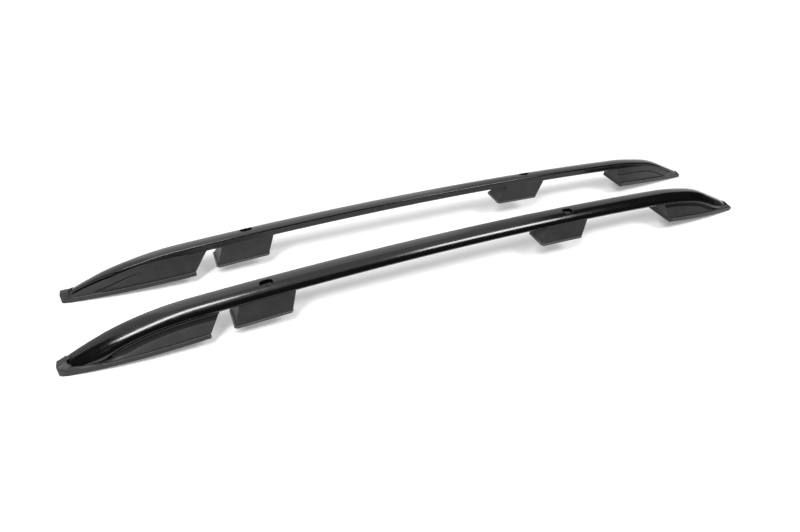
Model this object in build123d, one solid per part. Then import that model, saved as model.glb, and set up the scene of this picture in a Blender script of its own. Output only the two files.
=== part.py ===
from build123d import *
from math import asin, atan2, cos, degrees, radians, sin, sqrt, tan
import os

# Roof side rail pair, in millimetres. X runs along the rails, with the front ends at -X. Z is up.
# The left rail lies at -Y and is modelled first, about its own centre line. The right one is its mirror.

# Placing of the pair
rail_length = 1592.0
rail_spacing = 184.4
toe_in = 0.26

# Bar: an oval tube, bent in a plane that leans inward
bar_width = 42.0
bar_depth = 24.0
bar_edge_radius = 8.0
bar_wall = 2.5
bar_tilt = 15.2
bar_lean = 2.2
bar_inset = 5.2
arch_top_x = 75.5
arch_top_height = 93.0
arch_fall = 22.8
bend_radius = 495.0
front_bend_step = 231.5
rear_bend_step = 272.5
bar_end_cover = 19.5
bar_taper_length = 150.0

# Lip and step along the bar's inner side
lip_drop = 3.0
lip_overhang = 0.7
lip_depth = 1.3
lip_bulge = 0.14
inner_wall_draft = 1.4

# End feet
end_foot_length = 251.5
heel_half_width = 36.0
outer_nose_reach = 8.5
inner_nose_reach = 6.5
sole_thickness = 4.0
outer_side_bow = 7.0
inner_side_bow = 0.5
nose_radius = 5.0
heel_chamfer = 7.0
front_heel_height = 21.6
rear_heel_height = 27.9
tip_flat_depth = 0.8
end_flange_height = 10.5
end_flange_ledge = 2.6
rim_height = 3.0
rim_proud = 1.6
front_heel_lean = 40.0
rear_heel_lean = 20.0
nose_cover = 23.5
nose_thickness = 1.8
nose_wall = 3.6
nose_side_wall = 3.6
nose_ledge = 0.4
inner_bar_bow = 1.2
inner_base_end = 100.0
front_nose_fall = 13.0
rear_nose_fall = 46.0
wall_steps = (27.0, 60.0, 100.0, 145.0, 195.0)
rim_drop_start = 145.0
rim_top_gap = 1.2
pocket_start = 100.0
flank_angle = 50.0
foot_wall = 4.0

# Middle feet
mid_foot_length = 112.0
mid_foot_width = 53.0
mid_foot_chamfer = 8.0
mid_flange_height = 3.5
mid_flange_lip = 2.0
mid_foot_lean = 22.0
mid_outer_draft = 15.6
mid_inner_draft = 4.2
mid_corner_radius = 7.0
mid_top_drop = 2.0
front_mid_step = 350.5
front_mid_height = 28.0
front_mid_slope = 3.6
rear_mid_step = 570.0
rear_mid_height = 44.0
rear_mid_slope = -1.3

# Roof bolts: a bore through each middle foot, and an access slot in the bar above it
bolt_bore_radius = 3.3
bolt_boss_radius = 9.0
bolt_inset = 2.4
slot_length = 25.0
slot_width = 14.5

# Screws that hold the feet to the bar
screw_radius = 2.1
screw_head_radius = 4.5
screw_head_height = 2.8
screw_reach = 5.0
screw_clearance = 0.15
head_clearance = 1.0
seat_thickness = 4.0
seat_skin = 0.8
mid_screw_spacing = 64.0
end_screw_steps = (130.0, 214.0)

# Room between a foot and the bar that lies in it
seat_clearance = 0.3

half_length = rail_length / 2
half_bar_width = bar_width / 2
half_bar_depth = bar_depth / 2


# The bar's path is three tangent arcs in one plane: front bend, long arch and rear bend.
# The bends start a set step from the tips, and the arch falls a set height to the front one.
front_bend_x = front_bend_step - half_length
rear_bend_x = half_length - rear_bend_step
arch_radius = ((arch_top_x - front_bend_x) ** 2 + arch_fall**2) / (2 * arch_fall)
lean = radians(bar_lean)
bar_plane = Plane(
    origin=(0, bar_inset, arch_top_height),
    x_dir=(1, 0, 0),
    z_dir=(0, -cos(lean), sin(lean)),
)
arch_center = Vector(arch_top_x, -arch_radius)


def bend_center(bend_x):
    """Centre of the bend that is tangent to the long arch at bend_x."""
    angle = asin((bend_x - arch_top_x) / arch_radius)
    reach = arch_radius - bend_radius
    return arch_center + Vector(reach * sin(angle), reach * cos(angle))


def path_arc(x):
    """Centre and radius of the arc that holds the path's point at x."""
    if x < front_bend_x:
        return bend_center(front_bend_x), bend_radius
    if x > rear_bend_x:
        return bend_center(rear_bend_x), bend_radius
    return arch_center, arch_radius


def path_angle(x, arc):
    center, radius = arc
    return asin((x - center.X) / radius)


def section_plane(x, arc=None):
    """Plane across the bar at x: its X points outward and its Y away from the arc's centre."""
    center, radius = arc or path_arc(x)
    angle = path_angle(x, (center, radius))
    point = center + Vector(sin(angle), cos(angle)) * radius
    up = bar_plane.x_dir * sin(angle) + bar_plane.y_dir * cos(angle)
    return Plane(
        origin=bar_plane.from_local_coords((point.X, point.Y)),
        x_dir=bar_plane.z_dir,
        z_dir=bar_plane.z_dir.cross(up),
    )


# The bar's section is drawn on the oval's own axes, the long one pointing inward.
oval_reach = half_bar_width - bar_edge_radius
oval_side_radius = (oval_reach**2 + half_bar_depth**2 - bar_edge_radius**2) / (
    2 * (half_bar_depth - bar_edge_radius)
)
oval_drop = oval_side_radius - half_bar_depth
oval_tangent = atan2(oval_reach, oval_drop)
half_turn = radians(180)

shoulder = (
    oval_side_radius * sin(oval_tangent),
    oval_side_radius * cos(oval_tangent) - oval_drop,
)
lip_edge = (shoulder[0] + lip_overhang, shoulder[1] - lip_drop)
lip_crown = (
    lip_edge[0] + lip_bulge,
    (shoulder[1] + lip_edge[1]) / 2,
)
lip_root = (lip_edge[0] - lip_depth, lip_edge[1] - lip_depth / 2)
wall_foot_along = lip_root[0] - inner_wall_draft
wall_foot = (
    wall_foot_along,
    oval_drop - sqrt(oval_side_radius**2 - wall_foot_along**2),
)


def tilted(point):
    """From the oval's own axes to outward and up across the bar."""
    along, across = point
    turn = radians(bar_tilt)
    return (
        across * sin(turn) - along * cos(turn),
        along * sin(turn) + across * cos(turn),
    )


def arc_point(center, radius, angle):
    return center[0] + radius * sin(angle), center[1] + radius * cos(angle)


def oval_arc(center, radius, start, end):
    """Arc of the section about a centre on the oval's axes, angles counted from across to along."""
    angles = (start, (start + end) / 2, end)
    ThreePointArc(*[tilted(arc_point(center, radius, angle)) for angle in angles])


def bar_profile(plane):
    """Outer section: oval top, outer edge and bottom, with a lip and a flat wall on the inner side."""
    foot_turn = atan2(wall_foot[0], wall_foot[1] - oval_drop)
    with BuildSketch(plane) as sketch:
        with BuildLine():
            oval_arc((0, -oval_drop), oval_side_radius, -oval_tangent, oval_tangent)
            ThreePointArc(tilted(shoulder), tilted(lip_crown), tilted(lip_edge))
            Polyline(tilted(lip_edge), tilted(lip_root), tilted(wall_foot))
            oval_arc((0, oval_drop), oval_side_radius, foot_turn, half_turn + oval_tangent)
            oval_arc(
                (-oval_reach, 0),
                bar_edge_radius,
                half_turn + oval_tangent,
                2 * half_turn - oval_tangent,
            )
        make_face()
    return sketch.sketch


def bore_profile(plane):
    """Inner section: the oval less the wall, flat on its inner side."""
    side = oval_side_radius - bar_wall
    wall_along = wall_foot[0] - bar_wall
    rise = sqrt(side**2 - wall_along**2) - oval_drop
    wall_turn = atan2(wall_along, rise + oval_drop)
    with BuildSketch(plane) as sketch:
        with BuildLine():
            oval_arc((0, -oval_drop), side, -oval_tangent, wall_turn)
            Line(tilted((wall_along, rise)), tilted((wall_along, -rise)))
            oval_arc((0, oval_drop), side, half_turn - wall_turn, half_turn + oval_tangent)
            oval_arc(
                (-oval_reach, 0),
                bar_edge_radius - bar_wall,
                half_turn + oval_tangent,
                2 * half_turn - oval_tangent,
            )
        make_face()
    return sketch.sketch


def grown_profile(growth):
    """The bar's outer section, grown evenly."""
    return lambda plane: offset(bar_profile(plane), growth)


def swept(profile, start, end):
    """Carry a section along the path from one x to another, one arc at a time."""
    bends = [x for x in (front_bend_x, rear_bend_x) if start < x < end]
    stops = [start, *bends, end]
    solid = None
    for first, last in zip(stops, stops[1:]):
        arc = path_arc((first + last) / 2)
        turn = path_angle(last, arc) - path_angle(first, arc)
        axis = Axis(bar_plane.from_local_coords((arc[0].X, arc[0].Y)), bar_plane.z_dir)
        piece = revolve(profile(section_plane(first, arc)), axis, -degrees(turn))
        solid = piece if solid is None else solid + piece
    return solid


def cut_block(plane):
    """Block as large as an end foot, standing on the side of a plane that its normal points to."""
    size = 2 * end_foot_length
    return plane * Box(size, size, size, align=(Align.CENTER, Align.CENTER, Align.MIN))


def under_floor(end, gap):
    """Block under the floor that an end foot's sole gives the bar's end, near the tip alone."""
    sole = sole_plane(end)
    floor = sole.offset(sole_thickness - gap)
    return cut_block(Plane(floor.origin, sole.x_dir, -sole.z_dir))


# Screws stand across the bar, heads down, on seats moulded in the feet.
screw_seat_level = -(half_bar_depth / cos(radians(bar_tilt)) + seat_thickness)


def screw_shape(x):
    """One pan-head screw with a hexagonal socket, through a foot into the bar's lower wall."""
    seat = section_plane(x)
    upright = Plane(seat.origin, x_dir=seat.x_dir, z_dir=seat.y_dir).offset(screw_seat_level)
    head = upright * Cylinder(
        screw_head_radius, screw_head_height, align=(Align.CENTER, Align.CENTER, Align.MAX)
    )
    shank = upright * Cylinder(
        screw_radius,
        seat_thickness + bar_wall + screw_reach,
        align=(Align.CENTER, Align.CENTER, Align.MIN),
    )
    socket = upright.offset(-screw_head_height) * extrude(
        RegularPolygon(screw_radius, 6), screw_head_height / 2
    )
    return head + shank - socket


def screw_room(x):
    """Hole for a screw's shank and the flat seat for its head."""
    seat = section_plane(x)
    upright = Plane(seat.origin, x_dir=seat.x_dir, z_dir=seat.y_dir).offset(screw_seat_level)
    shank = upright * Cylinder(
        screw_radius + screw_clearance,
        seat_thickness + bar_wall + screw_reach,
        align=(Align.CENTER, Align.CENTER, Align.MIN),
    )
    seat_well = upright * Cylinder(
        screw_head_radius + head_clearance,
        arch_top_height,
        align=(Align.CENTER, Align.CENTER, Align.MAX),
    )
    return shank + seat_well


# End feet: every place is counted from the tip towards the rail's middle.
def sole_plane(end):
    """Plane of an end foot's sole: its X runs from the tip to the heel."""
    heel_height = front_heel_height if end < 0 else rear_heel_height
    rise = atan2(heel_height + tip_flat_depth, end_foot_length)
    return Plane(
        origin=(end * half_length, 0, -tip_flat_depth),
        x_dir=(-end * cos(rise), 0, sin(rise)),
        z_dir=(end * sin(rise), 0, cos(rise)),
    )


def bowed(step, nose, heel, bow):
    """Reach of a bowed side at a step, from its reach at the nose and the heel."""
    share = step / end_foot_length
    return nose + (heel - nose) * share + 4 * bow * share * (1 - share)


def sole_reach(step, side):
    """How far the sole reaches from its centre line, outward (side 1) or inward (side -1)."""
    if side > 0:
        return bowed(step, outer_nose_reach, heel_half_width, outer_side_bow)
    return bowed(step, inner_nose_reach, heel_half_width, inner_side_bow)


def bar_reach(step, side):
    """How far the bar may reach near the tip, where it is drawn in to fit between the foot's walls."""
    if side > 0:
        return sole_reach(step, side) - nose_wall
    return bowed(step, inner_nose_reach - nose_wall, heel_half_width, inner_bar_bow)


def side_outline(end, reach, growth=0.0):
    """Two bowed sides seen from above, drawn outward by a growth and closed by straight ends."""
    stops = (0, end_foot_length / 2, end_foot_length)
    with BuildSketch(sole_plane(end)) as sketch:
        with BuildLine():
            edges = []
            for side in (1, -1):
                points = [(x, end * side * (reach(x, side) + growth)) for x in stops]
                edges.append(ThreePointArc(*points))
            for place in (0, 1):
                Line(edges[0] @ place, edges[1] @ place)
        make_face()
    return sketch.sketch


def sole_outline(end):
    """Sole seen from above: bowed sides, a round nose and a chamfered heel."""
    with BuildSketch(sole_plane(end)) as sketch:
        add(sole_plane(end).to_local_coords(side_outline(end, sole_reach)))
        chamfer(sketch.vertices().sort_by(Axis.X)[2:], heel_chamfer)
        fillet(sketch.vertices().sort_by(Axis.X)[:2], nose_radius)
    return sketch.sketch


def nose_trim(end, gap):
    """What lies outside the bar's own room near the tip."""
    start = Plane((end * (half_length - bar_taper_length), 0, 0), z_dir=(end, 0, 0))
    return cut_block(start) - extrude(side_outline(end, bar_reach, gap), arch_top_height)


def wall_section(end, step):
    """Section of an end foot's walls, from inside the flange up into the bar."""
    x = end * (half_length - step)
    across = section_plane(x)
    center, height = -across.origin.Y, across.origin.Z
    stretch = across.y_dir.Z
    flange_top = sole_plane(end).from_local_coords((step, 0, end_flange_height)).Z
    place = min(step, end_foot_length)
    outer_foot = sole_reach(place, 1) - end_flange_ledge
    inner_foot = end_flange_ledge - sole_reach(place, -1)
    edge_center = tilted((-oval_reach, 0))
    flank = radians(flank_angle)
    outer = min(center + edge_center[0] + bar_edge_radius * cos(flank), outer_foot)
    outer_top = height + (edge_center[1] - bar_edge_radius * sin(flank)) / stretch
    lowest_top = flange_top + seat_clearance
    outer_top = max(outer_top, lowest_top)
    share = min(max((step - rim_drop_start) / (end_foot_length - rim_drop_start), 0), 1)
    inner_low, inner_high = tilted(wall_foot), tilted(lip_root)
    inner_limit = -bar_reach(place, -1) - nose_side_wall
    inner = max(center + min(inner_low[0], inner_high[0]), inner_limit)
    base_share = min(max((step - inner_base_end) / (wall_steps[-1] - inner_base_end), 0), 1)
    nose_base = max(inner, nose_ledge - sole_reach(place, -1))
    inner_base = nose_base + (inner_foot - nose_base) * base_share
    along = min((center - inner) / cos(radians(bar_tilt)), shoulder[0])
    crown = tilted((along, sqrt(oval_side_radius**2 - along**2) - oval_drop))[1] - rim_top_gap
    inner_top = height + (crown + (inner_low[1] - crown) * share) / stretch
    inner_top = max(inner_top, lowest_top)
    core_level = max(height, flange_top)
    core_out = min(center + bar_edge_radius, outer - rim_proud)
    core_in = max(center - bar_edge_radius, inner + foot_wall)
    points = [
        (outer_foot, flange_top - rim_height),
        (outer, outer_top - rim_height),
        (outer + rim_proud, outer_top - rim_height),
        (outer + rim_proud, outer_top),
        (core_out, core_level),
        (core_in, core_level),
        (core_in, inner_top),
        (inner - rim_proud, inner_top),
        (inner - rim_proud, inner_top - rim_height),
        (inner, inner_top - rim_height),
        (inner_base, flange_top - rim_height),
    ]
    plane = Plane(origin=(x, 0, 0), x_dir=(0, -1, 0), z_dir=(-1, 0, 0))
    with BuildSketch(plane) as sketch:
        with BuildLine():
            Polyline(*points, close=True)
        make_face()
    return sketch.sketch


def pocket_section(end, step):
    """Section of the hollow under an end foot, below the screws' seats."""
    x = end * (half_length - step)
    across = section_plane(x)
    center = -across.origin.Y
    ceiling = across.origin.Z + (screw_seat_level - seat_skin) / across.y_dir.Z
    sole = sole_plane(end).from_local_coords((step, 0, 0)).Z
    outer_foot = sole_reach(step, 1) - end_flange_ledge - foot_wall
    inner_foot = foot_wall + end_flange_ledge - sole_reach(step, -1)
    edge = tilted((-oval_reach, 0))[0]
    plane = Plane(origin=(x, 0, 0), x_dir=(0, -1, 0), z_dir=(-1, 0, 0))
    with BuildSketch(plane) as sketch:
        with BuildLine():
            Polyline(
                (outer_foot, sole - foot_wall),
                (center + edge, ceiling),
                (center - edge, ceiling),
                (inner_foot, sole - foot_wall),
                close=True,
            )
        make_face()
    return sketch.sketch


def end_screw_places(end):
    return [end * (half_length - step) for step in end_screw_steps]


def bar_room(start, end):
    """Room that a foot leaves for the bar."""
    return swept(grown_profile(seat_clearance), start, end)


def end_foot(end):
    """Front (-1) or rear (1) end foot: flange, sloping walls, rims along the bar and a nose."""
    sole = sole_plane(end)
    outline = sole_outline(end)
    flange = extrude(outline, end_flange_height)
    steps = [*wall_steps, end_foot_length, end_foot_length + heel_half_width]
    walls = loft([wall_section(end, step) for step in steps])
    lean_angle = radians(front_heel_lean if end < 0 else rear_heel_lean)
    heel = Plane(
        origin=sole.from_local_coords((end_foot_length, 0, end_flange_height)),
        x_dir=(0, 1, 0),
        z_dir=(-end * cos(lean_angle), 0, -sin(lean_angle)),
    )
    walls -= cut_block(heel)
    fall = radians(front_nose_fall if end < 0 else rear_nose_fall)
    collar = grown_profile(nose_thickness)(section_plane(end * (half_length - nose_cover)))
    cap = extrude(collar, 2 * nose_cover, dir=(end * cos(fall), 0, -sin(fall)))
    cap &= extrude(outline, arch_top_height)
    foot = flange + walls + cap
    far_side = end * (half_length - end_foot_length - 2 * heel_half_width)
    bar_tip = end * (half_length - bar_end_cover + seat_clearance)
    room = bar_room(min(bar_tip, far_side), max(bar_tip, far_side))
    room -= under_floor(end, seat_clearance)
    room -= nose_trim(end, seat_clearance)
    foot -= room
    pocket_steps = [pocket_start, wall_steps[-1], end_foot_length - 2 * foot_wall]
    foot -= loft([pocket_section(end, step) for step in pocket_steps], ruled=True)
    for x in end_screw_places(end):
        foot -= screw_room(x)
    foot -= cut_block(Plane((end * half_length, 0, 0), z_dir=(0, 0, -1)))
    return foot


# Middle feet: a leaning box on a flange, with a boss round the roof bolt's bore.
def mid_plane(place):
    x, height, slope = place
    rise = radians(slope)
    return Plane(
        origin=(x, 0, height),
        x_dir=(cos(rise), 0, sin(rise)),
        z_dir=(-sin(rise), 0, cos(rise)),
    )


def mid_bar_height(place):
    """Height of the bar's axis over a middle foot's base."""
    x, height, slope = place
    return section_plane(x).origin.Z - height


def mid_shift(place):
    """How far the foot's lean carries its top along the rail."""
    return mid_bar_height(place) * tan(radians(mid_foot_lean))


def bolt_plane(place):
    """Plane on the base with its origin on the roof bolt's axis."""
    base = mid_plane(place)
    origin = base.from_local_coords((mid_shift(place), bolt_inset, 0))
    return Plane(origin, x_dir=base.x_dir, z_dir=base.z_dir)


def mid_level(place, level, inset):
    """Level section of a middle foot's box, drawn in by an inset."""
    rise = level - mid_flange_height
    half_width = mid_foot_width / 2 - mid_flange_lip - inset
    inner = half_width - rise * tan(radians(mid_inner_draft))
    outer = half_width - rise * tan(radians(mid_outer_draft))
    length = mid_foot_length - 2 * (mid_flange_lip + inset)
    plane = mid_plane(place).offset(level)
    with BuildSketch(plane) as sketch:
        with Locations((level * tan(radians(mid_foot_lean)), (inner - outer) / 2)):
            RectangleRounded(length, inner + outer, mid_corner_radius - inset / 2)
    return sketch.sketch


def mid_screw_places(place):
    middle = bolt_plane(place).origin.X
    return [middle - mid_screw_spacing / 2, middle + mid_screw_spacing / 2]


def mid_foot(place):
    base = mid_plane(place)
    with BuildSketch(base) as sketch:
        Rectangle(mid_foot_length, mid_foot_width)
        chamfer(sketch.vertices(), mid_foot_chamfer)
    foot = extrude(sketch.sketch, mid_flange_height)
    top = mid_bar_height(place) - mid_top_drop
    foot += loft([mid_level(place, mid_flange_height, 0), mid_level(place, top, 0)])
    ceiling = mid_bar_height(place) + screw_seat_level - seat_skin - mid_top_drop
    hollow = loft([mid_level(place, -foot_wall, foot_wall), mid_level(place, ceiling, foot_wall)])
    hollow -= bolt_plane(place) * Cylinder(bolt_boss_radius, 2 * arch_top_height)
    foot -= hollow
    x, height, slope = place
    foot -= bar_room(x - mid_foot_length, x + mid_foot_length)
    foot -= bolt_plane(place) * Cylinder(bolt_bore_radius, 2 * arch_top_height)
    for screw_x in mid_screw_places(place):
        foot -= screw_room(screw_x)
    return foot


def bar():
    """Hollow bar, its ends trimmed over the soles, with slots, bolt holes and screw holes."""
    start, end = bar_end_cover - half_length, half_length - bar_end_cover
    closed = bar_taper_length + bar_wall
    tube = swept(bar_profile, start, end)
    tube -= swept(bore_profile, closed - half_length, half_length - closed)
    for side in (-1, 1):
        tube -= under_floor(side, 0)
        tube -= nose_trim(side, 0)
        for x in end_screw_places(side):
            tube -= screw_room(x)
    for place in mid_places:
        slot = bolt_plane(place).offset(mid_bar_height(place))
        tube -= slot * extrude(SlotOverall(slot_length, slot_width), bar_width)
        tube -= slot * Cylinder(
            bolt_bore_radius, bar_width, align=(Align.CENTER, Align.CENTER, Align.MAX)
        )
        for x in mid_screw_places(place):
            tube -= screw_room(x)
    return tube


mid_places = (
    (front_mid_step - half_length, front_mid_height, front_mid_slope),
    (half_length - rear_mid_step, rear_mid_height, rear_mid_slope),
)


def screws(places):
    return Compound(children=[screw_shape(x).solid() for x in places])


def rail():
    """One rail's pieces by name, about its own centre line."""
    front_mid, rear_mid = mid_places
    return {
        "bar": bar(),
        "front_end_foot": end_foot(-1),
        "rear_end_foot": end_foot(1),
        "front_mid_foot": mid_foot(front_mid),
        "rear_mid_foot": mid_foot(rear_mid),
        "front_end_foot_screws": screws(end_screw_places(-1)),
        "rear_end_foot_screws": screws(end_screw_places(1)),
        "front_mid_foot_screws": screws(mid_screw_places(front_mid)),
        "rear_mid_foot_screws": screws(mid_screw_places(rear_mid)),
    }


os.makedirs("parts", exist_ok=True)
for name, piece in rail().items():
    left = Pos(0, -rail_spacing / 2, 0) * Rot(0, 0, toe_in) * piece
    export_step(left, f"parts/left_{name}.step")
    export_step(mirror(left, about=Plane.XZ), f"parts/right_{name}.step")
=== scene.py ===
from math import atan2, cos, pi, radians, sin, sqrt, tan

import bmesh
import bpy
import numpy as np
from bpy.props import FloatProperty, FloatVectorProperty, PointerProperty
from mathutils import Matrix, Vector


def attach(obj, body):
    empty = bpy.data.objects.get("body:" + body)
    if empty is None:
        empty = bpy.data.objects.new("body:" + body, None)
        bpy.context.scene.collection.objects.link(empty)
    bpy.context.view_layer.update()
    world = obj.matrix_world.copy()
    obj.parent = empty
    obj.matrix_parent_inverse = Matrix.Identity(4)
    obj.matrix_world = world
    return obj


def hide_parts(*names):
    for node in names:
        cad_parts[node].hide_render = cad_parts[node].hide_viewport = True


bl_info = {
    "name": "Roof side rail pair",
    "version": (1, 0, 0),
    "blender": (4, 5, 0),
    "location": "3D View > Sidebar > Roof rails",
    "description": "Builds a pair of arched roof side rails, and a white studio round them",
    "category": "Add Mesh",
}

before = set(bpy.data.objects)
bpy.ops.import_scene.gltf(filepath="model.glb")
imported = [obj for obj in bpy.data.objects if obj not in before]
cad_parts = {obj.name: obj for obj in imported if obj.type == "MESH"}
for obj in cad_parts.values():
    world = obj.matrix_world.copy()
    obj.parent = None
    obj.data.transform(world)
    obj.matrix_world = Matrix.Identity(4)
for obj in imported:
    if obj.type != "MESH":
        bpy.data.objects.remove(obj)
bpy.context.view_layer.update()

# Sizes are in metres, angles in radians, in the CAD model's frame. A rail is made about its own
# centre line: X runs from its front end to its rear end, a reach counts outward from the centre
# line, and a step counts from a tip towards the rail's middle.
FRONT = -1
REAR = 1
OUTER = 1
INNER = -1
MM = 0.001
TINY = 1e-9

# Placing of the pair, and the bar's path
RAIL_LENGTH = 1592 * MM
HALF_LENGTH = RAIL_LENGTH / 2
RAIL_SPACING = 184.4 * MM
TOE_IN = radians(0.26)
BAR_LEAN = radians(2.2)
BAR_INSET = 5.2 * MM
ARCH_TOP_X = 75.5 * MM
ARCH_TOP_HEIGHT = 92.8 * MM
ARCH_FALL = 22.8 * MM
BEND_RADIUS = 495 * MM
BEND_STEPS = {FRONT: 231.5 * MM, REAR: 272.5 * MM}
BAR_END_COVER = 16 * MM
NEAR_TIP_SHARE = 0.6
SAG_DIRECTION = np.array([0.64, -0.77])
END_SAGS = {FRONT: 6.5 * MM, REAR: 0 * MM}
END_SAG_FADE = (30 * MM, 150 * MM)
END_LIFTS = {FRONT: 1.2 * MM, REAR: 1.5 * MM}
END_LIFT_REACH = 75 * MM
END_FATNESS = 0.35
END_FATNESS_REACH = 110 * MM
SHOULDER_LIFTS = {FRONT: 1.8 * MM, REAR: 3 * MM}
SHOULDER_STEPS = {FRONT: 90 * MM, REAR: 145 * MM}
SHOULDER_SPREADS = {FRONT: 38 * MM, REAR: 45 * MM}

# The bar's section: how many points its parts have, and the rounding of the lip's corners
UPPER_EDGE_POINTS = 7
OVER_SLOT_POINTS = 25
LOWER_POINTS = 26
OUTER_EDGE_POINTS = 42
SHOULDER_RUN_IN = 3.2 * MM
LOWER_RUN_IN = 3
LIP_ROUNDS = np.array([(0, 0), (1.5, 1.4), (0.8, 0.6), (0.3, 0.5), (1.5, 2.0), (0, 0)]) * MM

# Columns along the bar: to the front slot, over it, to the rear slot, over it, and to the rear end
BAR_COLUMNS = (120, 36, 160, 36, 170)

# Patch of the bar's top that a slot takes up, and the rings down to the bolt's bore
SLOT_BORDER_X = 18 * MM
SLOT_BORDER_ALONG = 10.5 * MM
SLOT_RINGS = 8
SLOT_EDGE_RINGS = 6
SLOT_UNDERCUT = 1.02
SLOT_FLOOR_SHARE = 0.95
SLOT_EDGE_BREAK = 0.2 * MM
SLOT_FLOOR_BREAK = 0.8 * MM
BOLT_EDGE_SHARE = 1.12
BOLT_EDGE_BREAK = 0.4 * MM
BOLT_BORE_DEPTH = 6 * MM
CROSSING_ROUNDS = 3

# Outlines and slopes of the end feet, front and rear
HEEL_HEIGHTS = {FRONT: 23 * MM, REAR: 30 * MM}
HEEL_LEANS = {FRONT: radians(37.5), REAR: radians(17)}
NOSE_FALLS = {FRONT: radians(17.1), REAR: radians(46)}
TIP_FLAT_DEPTH = 0.8 * MM
OUTER_NOSE_REACH = 14.5 * MM
INNER_NOSE_REACH = 6.8 * MM
HEEL_HALF_WIDTH = 35.95 * MM
OUTER_SIDE_POWERS = {FRONT: 2.6, REAR: 2.0}
INNER_SIDE_BOWS = {FRONT: 5 * MM, REAR: 0.5 * MM}
INNER_BAR_REACH = 2.9 * MM
INNER_BAR_BOWS = {FRONT: 1.2 * MM, REAR: 5 * MM}

# Noses of the end feet, and the collars where they end on the bar
NOSE_WALL = 3.6 * MM
NOSE_COVERS = {FRONT: 25 * MM, REAR: 21 * MM}
COLLAR_TONGUES = {FRONT: 7 * MM, REAR: 2 * MM}
OUTLINE_ROUNDS = 4
COLLAR_ARCHES = 9
COLLAR_POWER = 40
COLLAR_FOOT_TURN = 0.5
NOSE_LEAN = 1.5 * MM
NOSE_CLIMB = 4 * MM
NOSE_CLIMB_FADE = (20 * MM, 85 * MM)
NOSE_FALL_POWER = 1.2
NOSE_EDGE_GAP = 0.4 * MM
CROWN_THINNING = 0.25
SHOULDER_THICKENING = 0.3

# Walls of the end feet, up to the rim and the gap along the bar
INNER_LEDGE_START = (45 * MM, 95 * MM)
FLANK_ANGLES = {FRONT: radians(50), REAR: radians(27)}
SEAT_GAP = 0.3 * MM
SEAT_THICKNESS = 4 * MM
BAR_FLOOR = 4 * MM
RIM_DROP_START = 145 * MM
CREASE_DEPTH = 1.4 * MM
CREASE_START = (60 * MM, 90 * MM)
RIM_SHARE = 0.5
RIM_SHOWN = (2 * MM, 8 * MM)
RIM_SINK = 5 * MM
GAP_EDGE_DROP = 0.3 * MM
GAP_NARROWING = 0.5 * MM

# Hollow underside of the end feet, outer panel with its cove, and inner side with its strip and groove
HOLLOW_START = (70 * MM, 125 * MM)
CEILING_SHARE = 0.9
CEILING_REACH = 14 * MM
LEAST_PANEL = 0.01 * MM
PANEL_LIMIT = 0.9
COVE_LIMIT = 0.6
COVE_MIDDLE = 0.5
FIELD_DROP = 1.3
STRIP_DROP = 5 * MM
GROOVE_DROPS = {FRONT: 13 * MM, REAR: 14 * MM}
GROOVE_NOSE_DROPS = {FRONT: 5 * MM, REAR: 0 * MM}
GROOVE_NOSE_FADE = (60 * MM, 140 * MM)
GROOVE_FADES = {FRONT: (130 * MM, 165 * MM), REAR: (300 * MM, 320 * MM)}
GROOVE_ROOM = (0.85, 0.98)
GROOVE_HALF_LIMIT = 0.08
GROOVE_SHOWN = 0.3

# Columns round an end foot
SIDE_COLUMNS = 92
SIDE_CROWDING = 1.2
CORNER_COLUMNS = 9
HEEL_LEAN_SHARE = 0.7
NOSE_COLUMNS = 61
HEEL_COLUMNS = 20

# Rounding of an end foot's corner rows before and after each one, in millimetres
BASE_ROUNDS = [(0, 0), (2, 2), (1, 1), (0.5, 0.5), (0.6, 0.6), (0.9, 0.9)]
PANEL_ROUNDS = {OUTER: [(3, 3), (4.5, 4.5), (1.5, 0.6)], INNER: [(0.4, 0.3), (0.2, 0.2), (0.3, 0.6)]}
RIM_ROUNDS = [(0.7, 0.7), (0.8, 0.8), (0.3, 0.3), (0.3, 0.3), (0, 0)]
SOLE_ROUND = 0.5 * MM
NOSE_EDGE_ROUND = 0.9 * MM

# Rows of the nose's top: shares of the way from its edge to the collar, then heights over the bar
NOSE_SHARES = (0.2, 0.4, 0.6, 0.8, 0.97)
COLLAR_HEIGHTS = (0.4 * MM, -1.5 * MM)

# Corner rows of the feet: their numbers, and the numbers of the end feet's other materials, painted shade and
# a painted highlight
FLANGE_EDGE_ROW = 4
WALL_BASE_ROW = 5
GROOVE_ROW = 7
COVE_ROW = 7
RIM_ROOT_ROW = 8
PAINTED_SHADE = 1
PAINTED_HIGHLIGHT_EDGE = 2

# Middle feet: place of the base's middle along the rail, its height and its slope
MID_PLACES = {
    "front_mid_foot": (350.5 * MM - HALF_LENGTH, 28 * MM, radians(3.6)),
    "rear_mid_foot": (HALF_LENGTH - 570 * MM, 44 * MM, radians(-1.3)),
}
MID_LEAN = radians(22)
MID_OUTER_DRAFT = radians(19.4)
MID_INNER_DRAFT = radians(4.2)
BOLT_INSET = 2.4 * MM
BOLT_RADIUS = 3.3 * MM
BOSS_RADIUS = 9 * MM
BOSS_DROP = 15 * MM
BOSS_LIFT = 0.2 * MM
BOSS_COLUMNS = 40
BOSS_CURVE_POINTS = 5
BOSS_ROUNDS = np.array([(0, 0), (0.2, 0.2), (0.6, 0.6), (0.5, 0.5), (0, 0)]) * MM
MID_CEILING_DROP = 19 * MM
MID_TOP_DROP = 2 * MM
MID_WALL = 4 * MM
MID_HOLLOW_CORNER = 5 * MM
MID_ROUNDS = np.array([0, 2, 0.6, 0.5, 0.8, 1, 0.5, 0])[:, None] * [MM, MM]
BOX_CORNER_POINTS = 9
BOX_SIDE_POINTS = 14

# Rounded corners of a profile: points on each, the most that a rounding takes of a side, and the way
# from its end to the point that keeps the side flat
CURVE_POINTS = 6
EASE_SHARE = 0.46
EASE_LEAD = 0.02

# Points closer than these merge, and faces flatter than these go
MERGE_DISTANCE = 2e-6
FLAT_DISTANCE = 1e-6

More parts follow.
